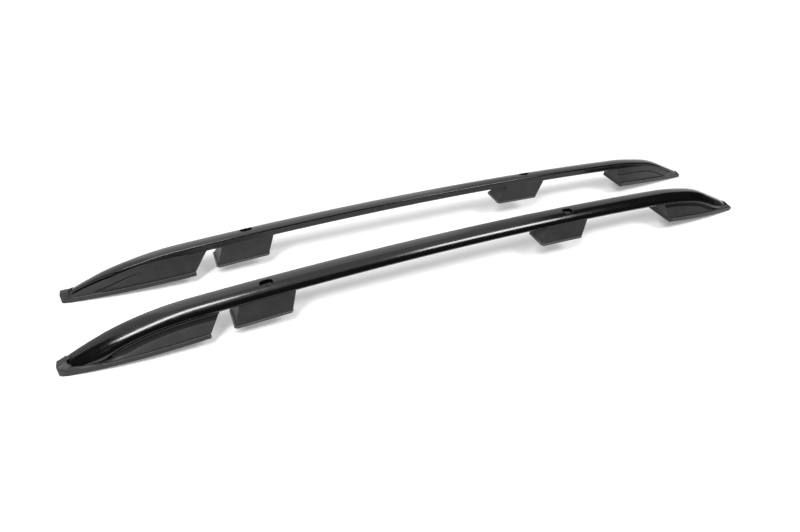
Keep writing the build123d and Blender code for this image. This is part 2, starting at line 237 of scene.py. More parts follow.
# Camera: its place, its three directions and its lens in millimetres
CAMERA_PLACE = (-0.5518, -0.9176, 0.7706)
CAMERA_RIGHT = (0.9173, -0.3956, 0.0463)
CAMERA_UP = (0.2105, 0.5802, 0.7868)
CAMERA_BACK = (-0.3381, -0.712, 0.6155)
CAMERA_LENS = 25.63
CAMERA_SENSOR = 36

# Studio: half the floor's side, where its glow grows, the black cards' corners, and for each softbox
# the directions of its two ends, its distance and its width
FLOOR_REACH = 60.0
FLOOR_GLOW_GROWS = (0.9, 3.5)
CARD_COLOUR = (0.005, 0.005, 0.005, 1)
CARDS = {
    "front_card": [(-7, -3.6, 0), (7, -3.6, 0), (7, -3.6, 4.4), (-7, -3.6, 4.4)],
    "low_card": [(-7, -3.6, 0.002), (7, -3.6, 0.002), (7, -0.17, 0.002), (-7, -0.17, 0.002)],
    "right_card": [(3.6, -3.6, 0), (3.6, 1.0, 0), (3.6, 1.0, 5.0), (3.6, -3.6, 5.0)],
    "left_card": [(-3.6, -3.6, 0.4), (-3.6, 0.2, 0.4), (-3.6, 0.2, 4.2), (-3.6, -3.6, 4.2)],
}
SOFTBOXES = {
    "left_softbox": ((-0.66, -0.50, 0.56), (-0.18, -0.29, 0.94), 3.0, 0.5),
    "right_softbox": ((0.30, -0.52, 0.80), (0.63, -0.42, 0.65), 3.0, 0.5),
    "back_softbox": ((-0.50, 0.61, 0.61), (0.50, 0.61, 0.61), 4.0, 5.0),
}


def smooth_step(low, high, value):
    """0 below low, 1 above high, and an even S between them."""
    share = np.clip((value - low) / (high - low), 0, 1)
    return share * share * (3 - 2 * share)


def soft_limit(value, limit, blend):
    """The smaller of a value and its limit, with the corner between them rounded over a blend."""
    share = np.clip(0.5 + 0.5 * (limit - value) / blend, 0, 1)
    return limit * (1 - share) + value * share - blend * share * (1 - share)


def eased(corners, reach, count):
    """A line through corners, each inner one rounded by a quadratic curve.

    The curve leaves the side that comes in a reach before the corner and joins the side that goes out
    a reach after it, with the corner as its control point. A reach takes at most a fixed share of its
    side. corners is (..., K, D), reach is (..., K, 2). One more point stands just outside each
    curve's ends, so that the flat sides shade flat.
    """
    here = corners[..., 1:-1, :]
    ends = []
    for neighbour, want in zip((corners[..., :-2, :], corners[..., 2:, :]), (reach[..., 0], reach[..., 1])):
        side = neighbour - here
        length = np.maximum(np.linalg.norm(side, axis=-1), TINY)
        share = np.minimum(want[..., 1:-1] / length, EASE_SHARE)[..., None]
        ends.append(((here + side * share)[..., None, :], (here + side * (share + EASE_LEAD))[..., None, :]))
    (start, lead_in), (stop, lead_out) = ends
    t = np.linspace(0, 1, count)[:, None]
    curve = (1 - t) ** 2 * start + 2 * t * (1 - t) * here[..., None, :] + t**2 * stop
    curve = np.concatenate([lead_in, curve, lead_out], axis=-2)
    curve = curve.reshape(*curve.shape[:-3], -1, curve.shape[-1])
    return np.concatenate([corners[..., :1, :], curve, corners[..., -1:, :]], axis=-2)


def corner_faces(first, last, before=0, after=0):
    """Slice of an eased profile's faces from one corner to another, each with the side after it."""
    per_corner = CURVE_POINTS + 2
    return slice(1 + (first - 1) * per_corner - before, 1 + last * per_corner + after)


def numbered(grid):
    """The numbers of a grid's points, in its own rows and columns."""
    return np.arange(grid.shape[0] * grid.shape[1]).reshape(grid.shape[:2])


def quads(numbers):
    """Faces between neighbouring rows and columns of an array of vertex numbers."""
    corners = (numbers[:-1, :-1], numbers[1:, :-1], numbers[1:, 1:], numbers[:-1, 1:])
    return np.stack(corners, axis=-1).reshape(-1, 4)


def ringed(numbers):
    """The same rows with the first one again at the end, so that the faces close a ring."""
    return np.concatenate([numbers, numbers[:1]])


def place_on_side(points, side):
    """From a rail's own centre line to its place in the pair. The right rail is the left one's mirror."""
    x = points[:, 0] * cos(TOE_IN) - points[:, 1] * sin(TOE_IN)
    y = points[:, 0] * sin(TOE_IN) + points[:, 1] * cos(TOE_IN) - RAIL_SPACING / 2
    return np.stack([x, y if side == "left" else -y, points[:, 2]], axis=-1)


def make_piece(name, points, faces, materials, shares, node):
    """Put arrays of points and faces into a mesh with closed seams and outward faces, in place of a CAD node.

    shares gives each face the number of its material.
    """
    mesh = bpy.data.meshes.new(name)
    mesh.vertices.add(len(points))
    mesh.vertices.foreach_set("co", points.astype(np.float32).ravel())
    mesh.loops.add(faces.size)
    mesh.loops.foreach_set("vertex_index", faces.astype(np.int32).ravel())
    mesh.polygons.add(len(faces))
    mesh.polygons.foreach_set("loop_start", np.arange(0, faces.size, faces.shape[1], dtype=np.int32))
    mesh.polygons.foreach_set("material_index", shares.astype(np.int32))
    mesh.update(calc_edges=True)
    shape = bmesh.new()
    shape.from_mesh(mesh)
    bmesh.ops.remove_doubles(shape, verts=shape.verts, dist=MERGE_DISTANCE)
    bmesh.ops.dissolve_degenerate(shape, edges=shape.edges, dist=FLAT_DISTANCE)
    bmesh.ops.recalc_face_normals(shape, faces=shape.faces)
    shape.to_mesh(mesh)
    shape.free()
    mesh.polygons.foreach_set("use_smooth", np.ones(len(mesh.polygons), dtype=bool))
    for material in materials:
        mesh.materials.append(material)
    piece = bpy.data.objects.new(name, mesh)
    bpy.context.scene.collection.objects.link(piece)
    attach(piece, "root")
    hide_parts(node)


def make_pair(name, finish, points, faces, materials, shares):
    """The same piece on both rails, each in place of its own CAD node."""
    for side in ("left", "right"):
        node = f"{side}_{name}"
        placed = place_on_side(points, side)
        make_piece(f"{node}_{finish}", placed, faces, materials, shares, node)


# Bar
def path(x):
    """The bar's axis at x: its place, its outward direction and its up direction.

    Front bend, long arch and rear bend are tangent arcs in one plane that leans inward. On an arc
    the angle from its top is the arcsine of the way along X over the radius. Each tip is lifted a
    little, by an even S that fades out along the rail, and each bend by a bell curve.
    """
    front = BEND_STEPS[FRONT] - HALF_LENGTH
    rear = HALF_LENGTH - BEND_STEPS[REAR]
    arch = ((ARCH_TOP_X - front) ** 2 + ARCH_FALL**2) / (2 * ARCH_FALL)
    bend_start = np.arcsin((np.where(x < front, front, rear) - ARCH_TOP_X) / arch)
    in_bend = (x < front) | (x > rear)
    radius = np.where(in_bend, BEND_RADIUS, arch)
    center_x = ARCH_TOP_X + (arch - radius) * np.sin(bend_start)
    center_rise = (arch - radius) * np.cos(bend_start) - arch
    center_x = np.where(in_bend, center_x, ARCH_TOP_X)
    center_rise = np.where(in_bend, center_rise, -arch)
    angle = np.arcsin((x - center_x) / radius)
    rise = center_rise + radius * np.cos(angle)
    share = 1 - smooth_step(0, END_LIFT_REACH, HALF_LENGTH - np.abs(x))
    lift = np.where(x < 0, END_LIFTS[FRONT], END_LIFTS[REAR]) * share
    for end in (FRONT, REAR):
        shoulder = (HALF_LENGTH - end * x - SHOULDER_STEPS[end]) / SHOULDER_SPREADS[end]
        lift = lift + SHOULDER_LIFTS[end] * np.exp(-(shoulder**2))
    height = ARCH_TOP_HEIGHT + rise * cos(BAR_LEAN) + lift
    place = np.stack([x, BAR_INSET + rise * sin(BAR_LEAN), height], axis=-1)
    up = np.stack([np.sin(angle), np.cos(angle) * sin(BAR_LEAN), np.cos(angle) * cos(BAR_LEAN)], axis=-1)
    return place, np.array([0, -cos(BAR_LEAN), sin(BAR_LEAN)]), up


class Oval:
    """The bar's section on the oval's own axes.

    The long axis is called along and points inward. The short one is called across.
    """

    def __init__(self, bar):
        self.edge_radius = bar.edge_radius
        self.reach = bar.width / 2 - bar.edge_radius
        depth = bar.depth / 2
        self.side_radius = (self.reach**2 + depth**2 - bar.edge_radius**2) / (2 * (depth - bar.edge_radius))
        self.drop = self.side_radius - depth
        self.tangent = atan2(self.reach, self.drop)
        self.tilt = bar.tilt
        self.edge_sag = bar.edge_sag
        self.shoulder = np.array(
            [self.side_radius * sin(self.tangent), self.side_radius * cos(self.tangent) - self.drop]
        )
        self.lip_edge = self.shoulder + np.array([bar.lip_overhang, -bar.lip_drop])
        self.lip_root = self.lip_edge - np.array([bar.lip_depth, bar.lip_depth / 2])
        wall_along = self.lip_root[0] - bar.inner_wall_draft
        self.wall_foot = np.array([wall_along, self.drop - sqrt(self.side_radius**2 - wall_along**2)])

    def turned(self, points):
        """From the oval's own axes to outward and up across the bar."""
        along, across = points[..., 0], points[..., 1]
        outward = across * sin(self.tilt) - along * cos(self.tilt)
        up = along * sin(self.tilt) + across * cos(self.tilt)
        return np.stack([outward, up], axis=-1)

    def top(self, along):
        """Height of the oval's upper side over its long axis."""
        return np.sqrt(self.side_radius**2 - along**2) - self.drop

    def arc(self, center, radius, angles):
        """Points of a circle at angles that count from across towards along."""
        return np.stack([center[0] + radius * np.sin(angles), center[1] + radius * np.cos(angles)], axis=-1)

    def ring(self, slot_border):
        """The closed outer section, its swell, and the numbers of its first and last point over a slot.

        Upper arc, lip with a fine round edge, step, flat inner wall, lower arc and round outer edge
        follow each other. The upper arc has points exactly at the slot border.
        """
        border = np.arcsin(slot_border / self.side_radius)
        lip_start = self.tangent - SHOULDER_RUN_IN / self.side_radius
        first = np.linspace(-self.tangent, -border, UPPER_EDGE_POINTS)[:-1]
        over_slot = np.linspace(-border, border, OVER_SLOT_POINTS)
        last = np.linspace(border, lip_start, UPPER_EDGE_POINTS)[1:]
        upper = self.arc((0, -self.drop), self.side_radius, np.concatenate([first, over_slot, last]))
        foot_turn = atan2(self.wall_foot[0], self.wall_foot[1] - self.drop)
        lower_turns = np.linspace(foot_turn, pi + self.tangent, LOWER_POINTS)[LOWER_RUN_IN:]
        lower = self.arc((0, self.drop), self.side_radius, lower_turns)
        corners = np.array([upper[-1], self.shoulder, self.lip_edge, self.lip_root, self.wall_foot, lower[0]])
        inner = eased(corners, LIP_ROUNDS, CURVE_POINTS)[1:-1]
        edge_turns = np.linspace(pi + self.tangent, 2 * pi - self.tangent, OUTER_EDGE_POINTS)[1:-1]
        edge = self.arc((-self.reach, 0), self.edge_radius, edge_turns)
        ring = self.turned(np.concatenate([upper, inner, lower, edge]))
        swell = self.swell(ring)
        return ring + self.edge_sag * swell, swell, len(first), len(first) + len(over_slot) - 1

    def swell(self, ring):
        """The way each point moves for a sag of 1.

        It goes in the point's own outward direction, by the squared cosine of its angle to the sag.
        """
        tangent = np.roll(ring, -1, axis=0) - np.roll(ring, 1, axis=0)
        facing = np.stack([-tangent[:, 1], tangent[:, 0]], axis=-1)
        facing /= np.linalg.norm(facing, axis=-1, keepdims=True)
        facing *= np.sign(np.sum(facing * (ring - ring.mean(axis=0)), axis=-1).sum())
        return facing * np.maximum(facing @ SAG_DIRECTION, 0)[:, None] ** 2

    def flank(self, angle, sag):
        """Outward and up of the outer edge at an angle below level, where the bar sags more by a sag."""
        facing = np.array([cos(angle), -sin(angle)])
        swell = self.edge_radius + (self.edge_sag + sag) * np.maximum(facing @ SAG_DIRECTION, 0) ** 2
        middle = self.turned(np.array([-self.reach, 0.0]))
        return middle[0] + facing[0] * swell, middle[1] + facing[1] * swell


def end_sag(x):
    """How much more the bar's outer edge sags towards a tip: all of it at the tip, fading as an even S."""
    share = 1 - smooth_step(*END_SAG_FADE, HALF_LENGTH - np.abs(x))
    return np.where(x < 0, END_SAGS[FRONT], END_SAGS[REAR]) * share


def fatness(x):
    """How much taller the bar's section is towards a tip: most at the tip, fading as an even S."""
    return 1 + END_FATNESS * (1 - smooth_step(0, END_FATNESS_REACH, HALF_LENGTH - np.abs(x)))


def bowed(step, nose, heel, bow, length):
    """Reach of a bowed side at a step: straight from nose to heel, plus a parabola that peaks halfway."""
    share = step / length
    return nose + (heel - nose) * share + 4 * bow * share * (1 - share)


def sole_reach(end, step, side, length):
    """How far an end foot's sole reaches from the centre line.

    The outer side falls short of its full width by a power of what is left of the way to the heel.
    The inner side is bowed.
    """
    if side == OUTER:
        left = np.maximum(1 - step / length, 0)
        return HEEL_HALF_WIDTH - (HEEL_HALF_WIDTH - OUTER_NOSE_REACH) * left ** OUTER_SIDE_POWERS[end]
    return bowed(step, INNER_NOSE_REACH, HEEL_HALF_WIDTH, INNER_SIDE_BOWS[end], length)


def bar_reach(x, side, length):
    """How far the bar reaches near a tip, where it is drawn in between the foot's walls."""
    step = np.minimum(HALF_LENGTH - np.abs(x), length)
    if side == OUTER:
        front, rear = (sole_reach(end, step, OUTER, length) for end in (FRONT, REAR))
        return np.where(x < 0, front, rear) - NOSE_WALL
    bow = np.where(x < 0, INNER_BAR_BOWS[FRONT], INNER_BAR_BOWS[REAR])
    return bowed(step, INNER_BAR_REACH, HEEL_HALF_WIDTH, bow, length)


def bar_surface(x, section, foot):
    """The bar's surface: the section carried along the path, drawn in near the tips.

    x is (...), section is (..., 2) as outward and up. Outward and inward each stop softly at the reach
    that the end foot leaves, and nothing goes under the foot's floor.
    """
    place, out, up = path(x)
    step = np.minimum(HALF_LENGTH - np.abs(x), foot.length)
    center = -place[..., 1]
    outward, rise = section[..., 0], section[..., 1] * fatness(x)
    blend = foot.bar_end_round
    limit_out = bar_reach(x, OUTER, foot.length) - center
    limit_in = bar_reach(x, INNER, foot.length) + center
    drawn = np.where(
        outward > 0, soft_limit(outward, limit_out, blend), -soft_limit(-outward, limit_in, blend)
    )
    near_tip = step < NEAR_TIP_SHARE * foot.length
    outward = np.where(near_tip, drawn, outward)
    points = place + outward[..., None] * out + rise[..., None] * up
    floor = np.where(x < 0, sole_height(step, FRONT, foot), sole_height(step, REAR, foot)) + BAR_FLOOR
    points[..., 2] = np.where(near_tip, np.maximum(points[..., 2], floor), points[..., 2])
    return points


def slot_center(place, oval):
    """Where a roof bolt crosses the bar's top: x, the way along the oval's long axis, and its direction.

    The bolt's height and its way along depend on each other, so they are worked out in a few rounds.
    """
    x, height, slope = place
    shift = (path(np.array(x))[0][2] - height) * tan(MID_LEAN)
    base = np.array([x + shift * cos(slope), BOLT_INSET, height + shift * sin(slope)])
    axis = np.array([-sin(slope), 0, cos(slope)])
    along = 0.0
    for _ in range(CROSSING_ROUNDS):
        top = oval.turned(np.array([along, oval.top(along)]))
        origin, out, up = path(np.array(base[0]))
        lift = (origin[2] + top[0] * out[2] + top[1] * up[2] - base[2]) / axis[2]
        cross = base + axis * lift
        origin, out, up = path(np.array(cross[0]))
        outward = (cross - origin) @ out
        along = (oval.top(along) * sin(oval.tilt) - outward) / cos(oval.tilt)
    return cross[0], along, axis


def stadium_share(direction, half_length, half_width):
    """Share of each direction, from a slot's middle, at which its stadium outline is met.

    The straight sides are met at the half width, and elsewhere the round end is met, where the way
    along and across solves a quadratic about the end's own centre.
    """
    along, across = np.abs(direction[:, 0]), np.abs(direction[:, 1])
    core = half_length - half_width
    straight = half_width / np.maximum(across, TINY)
    length2 = along**2 + across**2
    root = np.sqrt(np.maximum((along * core) ** 2 - length2 * (core**2 - half_width**2), 0))
    rounded = (along * core + root) / length2
    return np.where(straight * along <= core, straight, rounded)


def slot_rings(center, axis, bar, oval, foot, border):
    """Rings of an access slot, from its border in the bar's grid to the bolt hole at its floor.

    Each ring is the stadium outline at a share of the way in from the border. On the bar's top the
    rings follow its surface. Below the rounded edge they sink along the bolt's axis.
    """
    middle = np.array(center)
    direction = border - middle
    flat = direction * np.array([1, cos(oval.tilt + BAR_LEAN)])
    edge = stadium_share(flat, bar.slot_length / 2, bar.slot_width / 2)[:, None] * direction
    length = np.linalg.norm(edge, axis=-1, keepdims=True)
    radius = bar.slot_edge_radius
    rings = []

    def ring(plan, depth):
        """Add a ring over a plan of x and along, sunk by a depth."""
        along = plan[:, 1]
        section = oval.turned(np.stack([along, oval.top(along)], axis=-1))
        rings.append(bar_surface(plan[:, 0], section, foot) - depth * axis)

    lip = edge * (1 + radius / length)
    for share in np.linspace(0, 1, SLOT_RINGS)[1:]:
        ring(middle + direction * (1 - share) + lip * share, 0)
    for turn in np.linspace(0, pi / 2, SLOT_EDGE_RINGS)[1:]:
        ring(middle + edge * (1 + radius * (1 - sin(turn)) / length), radius * (1 - cos(turn)))
    floor = bar.slot_depth
    ring(middle + edge, bar.wall)
    ring(middle + edge * SLOT_UNDERCUT, bar.wall + SLOT_EDGE_BREAK)
    ring(middle + edge * SLOT_UNDERCUT, floor - SLOT_FLOOR_BREAK)
    ring(middle + edge * SLOT_FLOOR_SHARE, floor)
    hole = direction / np.linalg.norm(flat, axis=-1, keepdims=True) * BOLT_RADIUS
    ring(middle + hole * BOLT_EDGE_SHARE, floor)
    ring(middle + hole, floor + BOLT_EDGE_BREAK)
    ring(middle + hole, floor + BOLT_BORE_DEPTH)
    ring(middle + hole * 0, floor + BOLT_BORE_DEPTH)
    return rings


def bar_mesh(bar, foot):
    """Points and faces of one bar: a grid round the section and along the path, with two slots let in."""
    oval = Oval(bar)
    section, swell, low, high = oval.ring(SLOT_BORDER_ALONG)
    slots = [slot_center(place, oval) for place in MID_PLACES.values()]
    tip = HALF_LENGTH - BAR_END_COVER
    borders = [slot[0] + way * SLOT_BORDER_X for slot in slots for way in (-1, 1)]
    stops = [-tip, *borders, tip]
    pairs = zip(stops, stops[1:], BAR_COLUMNS)
    runs = [np.linspace(first, last, count + 1)[:-1] for first, last, count in pairs]
    x = np.concatenate([*runs, [tip]])
    sections = section + end_sag(x)[:, None, None] * swell
    grid = bar_surface(np.broadcast_to(x[:, None], sections.shape[:2]), sections, foot)
    points = [grid.reshape(-1, 3)]
    numbers = numbered(grid)
    looped = np.concatenate([numbers, numbers[:, :1]], axis=1)
    keep = np.ones((grid.shape[0] - 1, grid.shape[1]), dtype=bool)
    starts = np.cumsum([0, *BAR_COLUMNS])
    faces = []
    for (center_x, center_along, axis), first, last in zip(slots, starts[1::2], starts[2::2]):
        keep[first:last, low:high] = False
        loop = np.concatenate(
            [
                numbers[first:last, low],
                numbers[last, low:high],
                numbers[last:first:-1, high],
                numbers[first, high:low:-1],
            ]
        )
        turn = np.arcsin(SLOT_BORDER_ALONG / oval.side_radius)
        along = oval.side_radius * np.sin(np.linspace(-1, 1, high - low + 1) * turn)
        plan = np.concatenate(
            [
                np.stack([x[first:last], np.full(last - first, along[0])], axis=-1),
                np.stack([np.full(high - low, x[last]), along[:-1]], axis=-1),
                np.stack([x[last:first:-1], np.full(last - first, along[-1])], axis=-1),
                np.stack([np.full(high - low, x[first]), along[:0:-1]], axis=-1),
            ]
        )
        rings = np.stack(slot_rings((center_x, center_along), axis, bar, oval, foot, plan))
        start = sum(map(len, points))
        points.append(rings.reshape(-1, 3))
        ring_numbers = np.concatenate([loop[None], start + numbered(rings)])
        faces.append(quads(np.concatenate([ring_numbers, ring_numbers[:, :1]], axis=1)))
    faces.append(quads(looped).reshape(*keep.shape, 4)[keep])
    for row in (0, -1):
        start = sum(map(len, points))
        points.append(np.broadcast_to(grid[row].mean(axis=0), grid[row].shape))
        cap = np.stack([looped[row], np.append(start + np.arange(grid.shape[1]), start)])
        faces.append(quads(cap))
    return np.concatenate(points), np.concatenate(faces)


# End feet
def sole_rise(end, foot):
    """Slope of an end foot's sole, from its tip on the floor to its heel."""
    return atan2(HEEL_HEIGHTS[end] + TIP_FLAT_DEPTH, foot.length)


def sole_height(step, end, foot):
    """Height of an end foot's sole over the floor at a step."""
    return step * tan(sole_rise(end, foot)) - TIP_FLAT_DEPTH


def on_sole(end, foot, step, reach, lift):
    """Points a lift over the sloping sole, never under the floor."""
    rise = sole_rise(end, foot)
    step, reach, lift = np.broadcast_arrays(step, reach, lift)
    x = end * (HALF_LENGTH - step * cos(rise) + lift * sin(rise))
    z = np.maximum(step * sin(rise) + lift * cos(rise) - TIP_FLAT_DEPTH, 0)
    return np.stack([x, -reach, z], axis=-1)


def upright(end, step, reach, height):
    """Points at a step, a reach and a height."""
    step, reach, height = np.broadcast_arrays(step, reach, height)
    return np.stack([end * (HALF_LENGTH - step), -reach, height], axis=-1)


def nose_climb(step):
    """How far the outer wall's base climbs over the flange towards the nose, as an even S."""
    return NOSE_CLIMB * (1 - smooth_step(*NOSE_CLIMB_FADE, step))


class WallLines:
    """The lines that bound an end foot's walls at each step, outer and inner, as reach and height."""

    def __init__(self, end, step, bar, foot):
        oval = Oval(bar)
        x = end * (HALF_LENGTH - step)
        place, _, up = path(x)
        self.center, self.axis_height = -place[..., 1], place[..., 2]
        stretch = up[..., 2]
        capped = np.minimum(step, foot.length)
        self.flange_top = sole_height(step, end, foot) + foot.flange_height
        lowest = self.flange_top + SEAT_GAP
        self.seat = self.axis_height - (bar.depth / 2 / cos(bar.tilt) + SEAT_THICKNESS) / stretch
        self.outer_base = sole_reach(end, capped, OUTER, foot.length) - foot.flange_ledge
        fat = fatness(x)
        flank = oval.flank(FLANK_ANGLES[end], end_sag(x))
        self.outer = np.minimum(self.center + flank[0], self.outer_base)
        self.outer_top = np.maximum(self.axis_height + flank[1] * fat / stretch, lowest)
        low, high = oval.turned(oval.wall_foot), oval.turned(oval.lip_root)
        limit = -bar_reach(x, INNER, foot.length) - NOSE_WALL
        self.inner = np.maximum(self.center + min(low[0], high[0]), limit)
        inner_reach = sole_reach(end, capped, INNER, foot.length)
        inner_base = foot.flange_ledge - inner_reach
        nose_base = np.maximum(self.inner, NOSE_EDGE_GAP - inner_reach)
        self.inner_base = nose_base + (inner_base - nose_base) * smooth_step(*INNER_LEDGE_START, step)
        along = np.minimum((self.center - self.inner) / cos(oval.tilt), oval.shoulder[0])
        crown = oval.turned(np.stack([along, oval.top(along)], axis=-1))[..., 1] - STRIP_DROP
        drop = np.clip((step - RIM_DROP_START) / (foot.length - RIM_DROP_START), 0, 1)
        strip = (crown + (low[1] - crown) * drop) * fat
        self.inner_top = np.maximum(self.axis_height + strip / stretch, lowest)


class FootStations:
    """Steps of the columns along an end foot's sides, with the last ones set closer for the heel's corner."""

    def __init__(self, end, bar, foot):
        share = np.linspace(0, 1, SIDE_COLUMNS)
        cover = NOSE_COVERS[end]
        straight = cover + (foot.length - foot.heel_chamfer - cover) * share**SIDE_CROWDING
        turns = np.linspace(0, pi / 2, CORNER_COLUMNS)[1:]
        corner = foot.length - foot.heel_chamfer * (1 - np.sin(turns))
        self.sole = np.concatenate([straight, corner])
        self.lean = tan(HEEL_LEANS[end])
        self.heel_base = float(WallLines(end, np.array(foot.length), bar, foot).flange_top)
        self.length = foot.length

    def at(self, height):
        """The same columns at a height, where the leaning heel carries on past the sole's end."""
        late = smooth_step(HEEL_LEAN_SHARE * self.length, self.length, self.sole)
        return self.sole + late * max(height - self.heel_base, 0) * self.lean

    def chamfered(self, cut):
        """How much a straight cut takes off the reach near the heel."""
        return np.maximum(self.sole - (self.length - cut), 0)

    def rounded(self, radius):
        """How much a quarter circle takes off the reach near the heel."""
        depth = np.clip(self.sole - (self.length - radius), 0, radius)
        return radius - np.sqrt(radius**2 - depth**2)


def closing_line(end, step, lines, foot):
    """Where a foot's surfaces meet inside the bar: on its axis, under the gaps and over the sole."""
    height = np.minimum(lines.axis_height, np.minimum(lines.outer_top, lines.inner_top) - foot.gap_depth)
    return upright(end, step, lines.center, np.maximum(height, sole_height(step, end, foot) + BAR_FLOOR))


def outer_panel(tall, on_wall, foot):
    """Rows of the outer panel: a flat field's top, the hollow cove over it, and its end under the rim."""
    cove = np.minimum(foot.cove_height, COVE_LIMIT * tall)
    deep = foot.cove_depth * cove / foot.cove_height
    field = np.minimum(FIELD_DROP * cove, PANEL_LIMIT * tall)
    return [on_wall(field), on_wall(COVE_MIDDLE * cove, deep), on_wall(0 * tall)]


def groove_drop(end, step):
    """From the inner side's top down to its groove: more near the nose."""
    return GROOVE_DROPS[end] + GROOVE_NOSE_DROPS[end] * (1 - smooth_step(*GROOVE_NOSE_FADE, step))


def groove_share(end, tall, step):
    """How much of the inner groove there is: none where the wall is too low for it, or past its end."""
    room = 1 - smooth_step(*GROOVE_ROOM, groove_drop(end, step) / tall)
    return room * (1 - smooth_step(*GROOVE_FADES[end], step))


def inner_panel(end, tall, on_wall, foot, step):
    """Rows of the inner side: a narrow groove with sharp edges, some way below the strip along the bar."""
    drop = np.minimum(groove_drop(end, step), PANEL_LIMIT * tall)
    half = np.minimum(foot.groove_width / 2, GROOVE_HALF_LIMIT * drop)
    deep = foot.groove_depth * groove_share(end, tall, step)
    return [on_wall(drop + half), on_wall(drop, deep), on_wall(drop - half)]


def side_levels(end, side, stations, bar, foot):
    """Corner rows of one long side, the rounding of each row, and the columns that show the groove.

    The rows climb from the hollow underside over the sole's edge, the flange, the panel and the rim
    to the line where the foot closes inside the bar.
    """
    length = foot.length
    sole_step = stations.sole
    heel = WallLines(end, np.array(length), bar, foot)
    rim_step = stations.at(float(heel.outer_top if side == OUTER else heel.inner_top))
    base = WallLines(end, sole_step, bar, foot)
    rim = WallLines(end, rim_step, bar, foot)
    softened = stations.rounded(foot.heel_round)
    if side == OUTER:
        base_reach, top_reach, top, proud = base.outer_base, rim.outer, rim.outer_top, foot.rim_proud
    else:
        base_reach, top_reach, top, proud = base.inner_base, rim.inner, rim.inner_top, -foot.strip_proud
    climb = nose_climb(sole_step) if side == OUTER else 0 * sole_step
    low = rim.flange_top + climb
    top = np.maximum(top, low + SEAT_GAP)
    rim_low = top - np.minimum(foot.rim_height, RIM_SHARE * (top - low))
    shown = smooth_step(*RIM_SHOWN, top - low)
    top_reach = top_reach - side * RIM_SINK * (1 - shown)
    crease = CREASE_DEPTH * smooth_step(*CREASE_START, sole_step)
    tall = np.maximum(rim_low - low, LEAST_PANEL)

    def on_rim(out, height):
        """Points along the rim at a height, a way out from the panel's top."""
        return upright(end, rim_step, top_reach + out - side * softened, height)

    wall_base = upright(end, sole_step, base_reach - side * softened, base.flange_top + climb - crease)
    wall_top = on_rim(0, rim_low)

    def on_wall(drop, inset=0.0):
        """Points on the panel a drop below its top, drawn in by an inset."""
        points = wall_top + (wall_base - wall_top) * np.clip(drop / tall, 0, 1)[:, None]
        points[:, 1] += side * inset
        return points

    if side == OUTER:
        panel = outer_panel(tall, on_wall, foot)
    else:
        panel = inner_panel(end, tall, on_wall, foot, sole_step)
    hollow_step = np.minimum(sole_step, length - foot.hollow_wall)
    opening = smooth_step(*HOLLOW_START, hollow_step)
    mouth = opening * (sole_reach(end, hollow_step, side, length) - foot.hollow_wall)
    sole = sole_height(hollow_step, end, foot)
    ceiling = sole + opening * np.maximum(WallLines(end, hollow_step, bar, foot).seat - sole, 0)
    ceiling_reach = np.minimum(CEILING_SHARE * mouth, CEILING_REACH)
    reach = side * (sole_reach(end, sole_step, side, length) - stations.chamfered(foot.heel_chamfer))
    rows = [
        upright(end, hollow_step, 0, ceiling),
        upright(end, hollow_step, side * ceiling_reach, ceiling),
        on_sole(end, foot, hollow_step, side * mouth, 0),
        on_sole(end, foot, sole_step, reach, 0),
        on_sole(end, foot, sole_step, reach, foot.flange_height),
        wall_base,
        *panel,
        on_rim(proud * shown, rim_low),
        on_rim(proud * shown, top),
        on_rim(-side * foot.gap_inset, top - GAP_EDGE_DROP),
        on_rim(-side * (foot.gap_inset + GAP_NARROWING), top - foot.gap_depth),
        closing_line(end, sole_step, base, foot),
    ]
    rounds = np.array(BASE_ROUNDS + PANEL_ROUNDS[side] + RIM_ROUNDS) * MM
    rounding = np.broadcast_to(rounds, (len(sole_step), *rounds.shape))
    grooved = groove_share(end, tall, sole_step) > GROOVE_SHOWN
    return np.stack(rows, axis=1), rounding, grooved


def upright_ring(x, section, swell, foot):
    """The bar's outline in an upright plane: each point's station moves until the point lies in it."""
    station = np.full(len(section), x)
    for _ in range(OUTLINE_ROUNDS):
        sagged = section + end_sag(station)[:, None] * swell
        station = x - sagged[:, 1] * fatness(station) * path(station)[2][:, 0]
    return bar_surface(station, sagged, foot)


def upright_arch(end, step, bar, foot, turn):
    """The bar's outline over the foot at a step, shared out evenly over the turn."""
    section, swell, _, _ = Oval(bar).ring(SLOT_BORDER_ALONG)
    ring = upright_ring(end * (HALF_LENGTH - step), section, swell, foot)
    base = float(sole_height(step, end, foot)) + foot.flange_height
    upper = ring[ring[:, 2] > base + np.where(ring[:, 1] < 0, nose_climb(step), 0)]
    upper = upper[np.argsort(np.arctan2(upper[:, 2] - base, -upper[:, 1]))]
    way = np.concatenate([[0], np.cumsum(np.linalg.norm(np.diff(upper, axis=0), axis=-1))])
    share = turn / pi * way[-1]
    return np.stack([np.interp(share, way, upper[:, k]) for k in range(3)], axis=-1)


def collar_arch(end, bar, foot, turn):
    """A line round the bar's end that lies on its surface, and its outward directions.

    The line bulges towards the tip at the bar's sides. It lies back over the bar's top, by a high
    power of the turn's sine, and at the flange, as an even S.
    """
    steps = NOSE_COVERS[end] - np.linspace(0, COLLAR_TONGUES[end], COLLAR_ARCHES)
    arches = np.stack([upright_arch(end, step, bar, foot, turn) for step in steps])
    from_flange = np.minimum(turn, pi - turn)
    bulge = (1 - np.sin(turn) ** COLLAR_POWER) * smooth_step(0, COLLAR_FOOT_TURN, from_flange)
    place = bulge * (COLLAR_ARCHES - 1)
    below = np.minimum(place.astype(int), COLLAR_ARCHES - 2)
    column = np.arange(len(turn))
    part = (place - below)[:, None]
    arch = arches[below, column] * (1 - part) + arches[below + 1, column] * part
    tangent = np.gradient(arch, axis=0)
    normal = np.stack([0 * turn, -tangent[:, 2], tangent[:, 1]], axis=-1)
    normal /= np.maximum(np.linalg.norm(normal, axis=-1, keepdims=True), TINY)
    return arch, normal


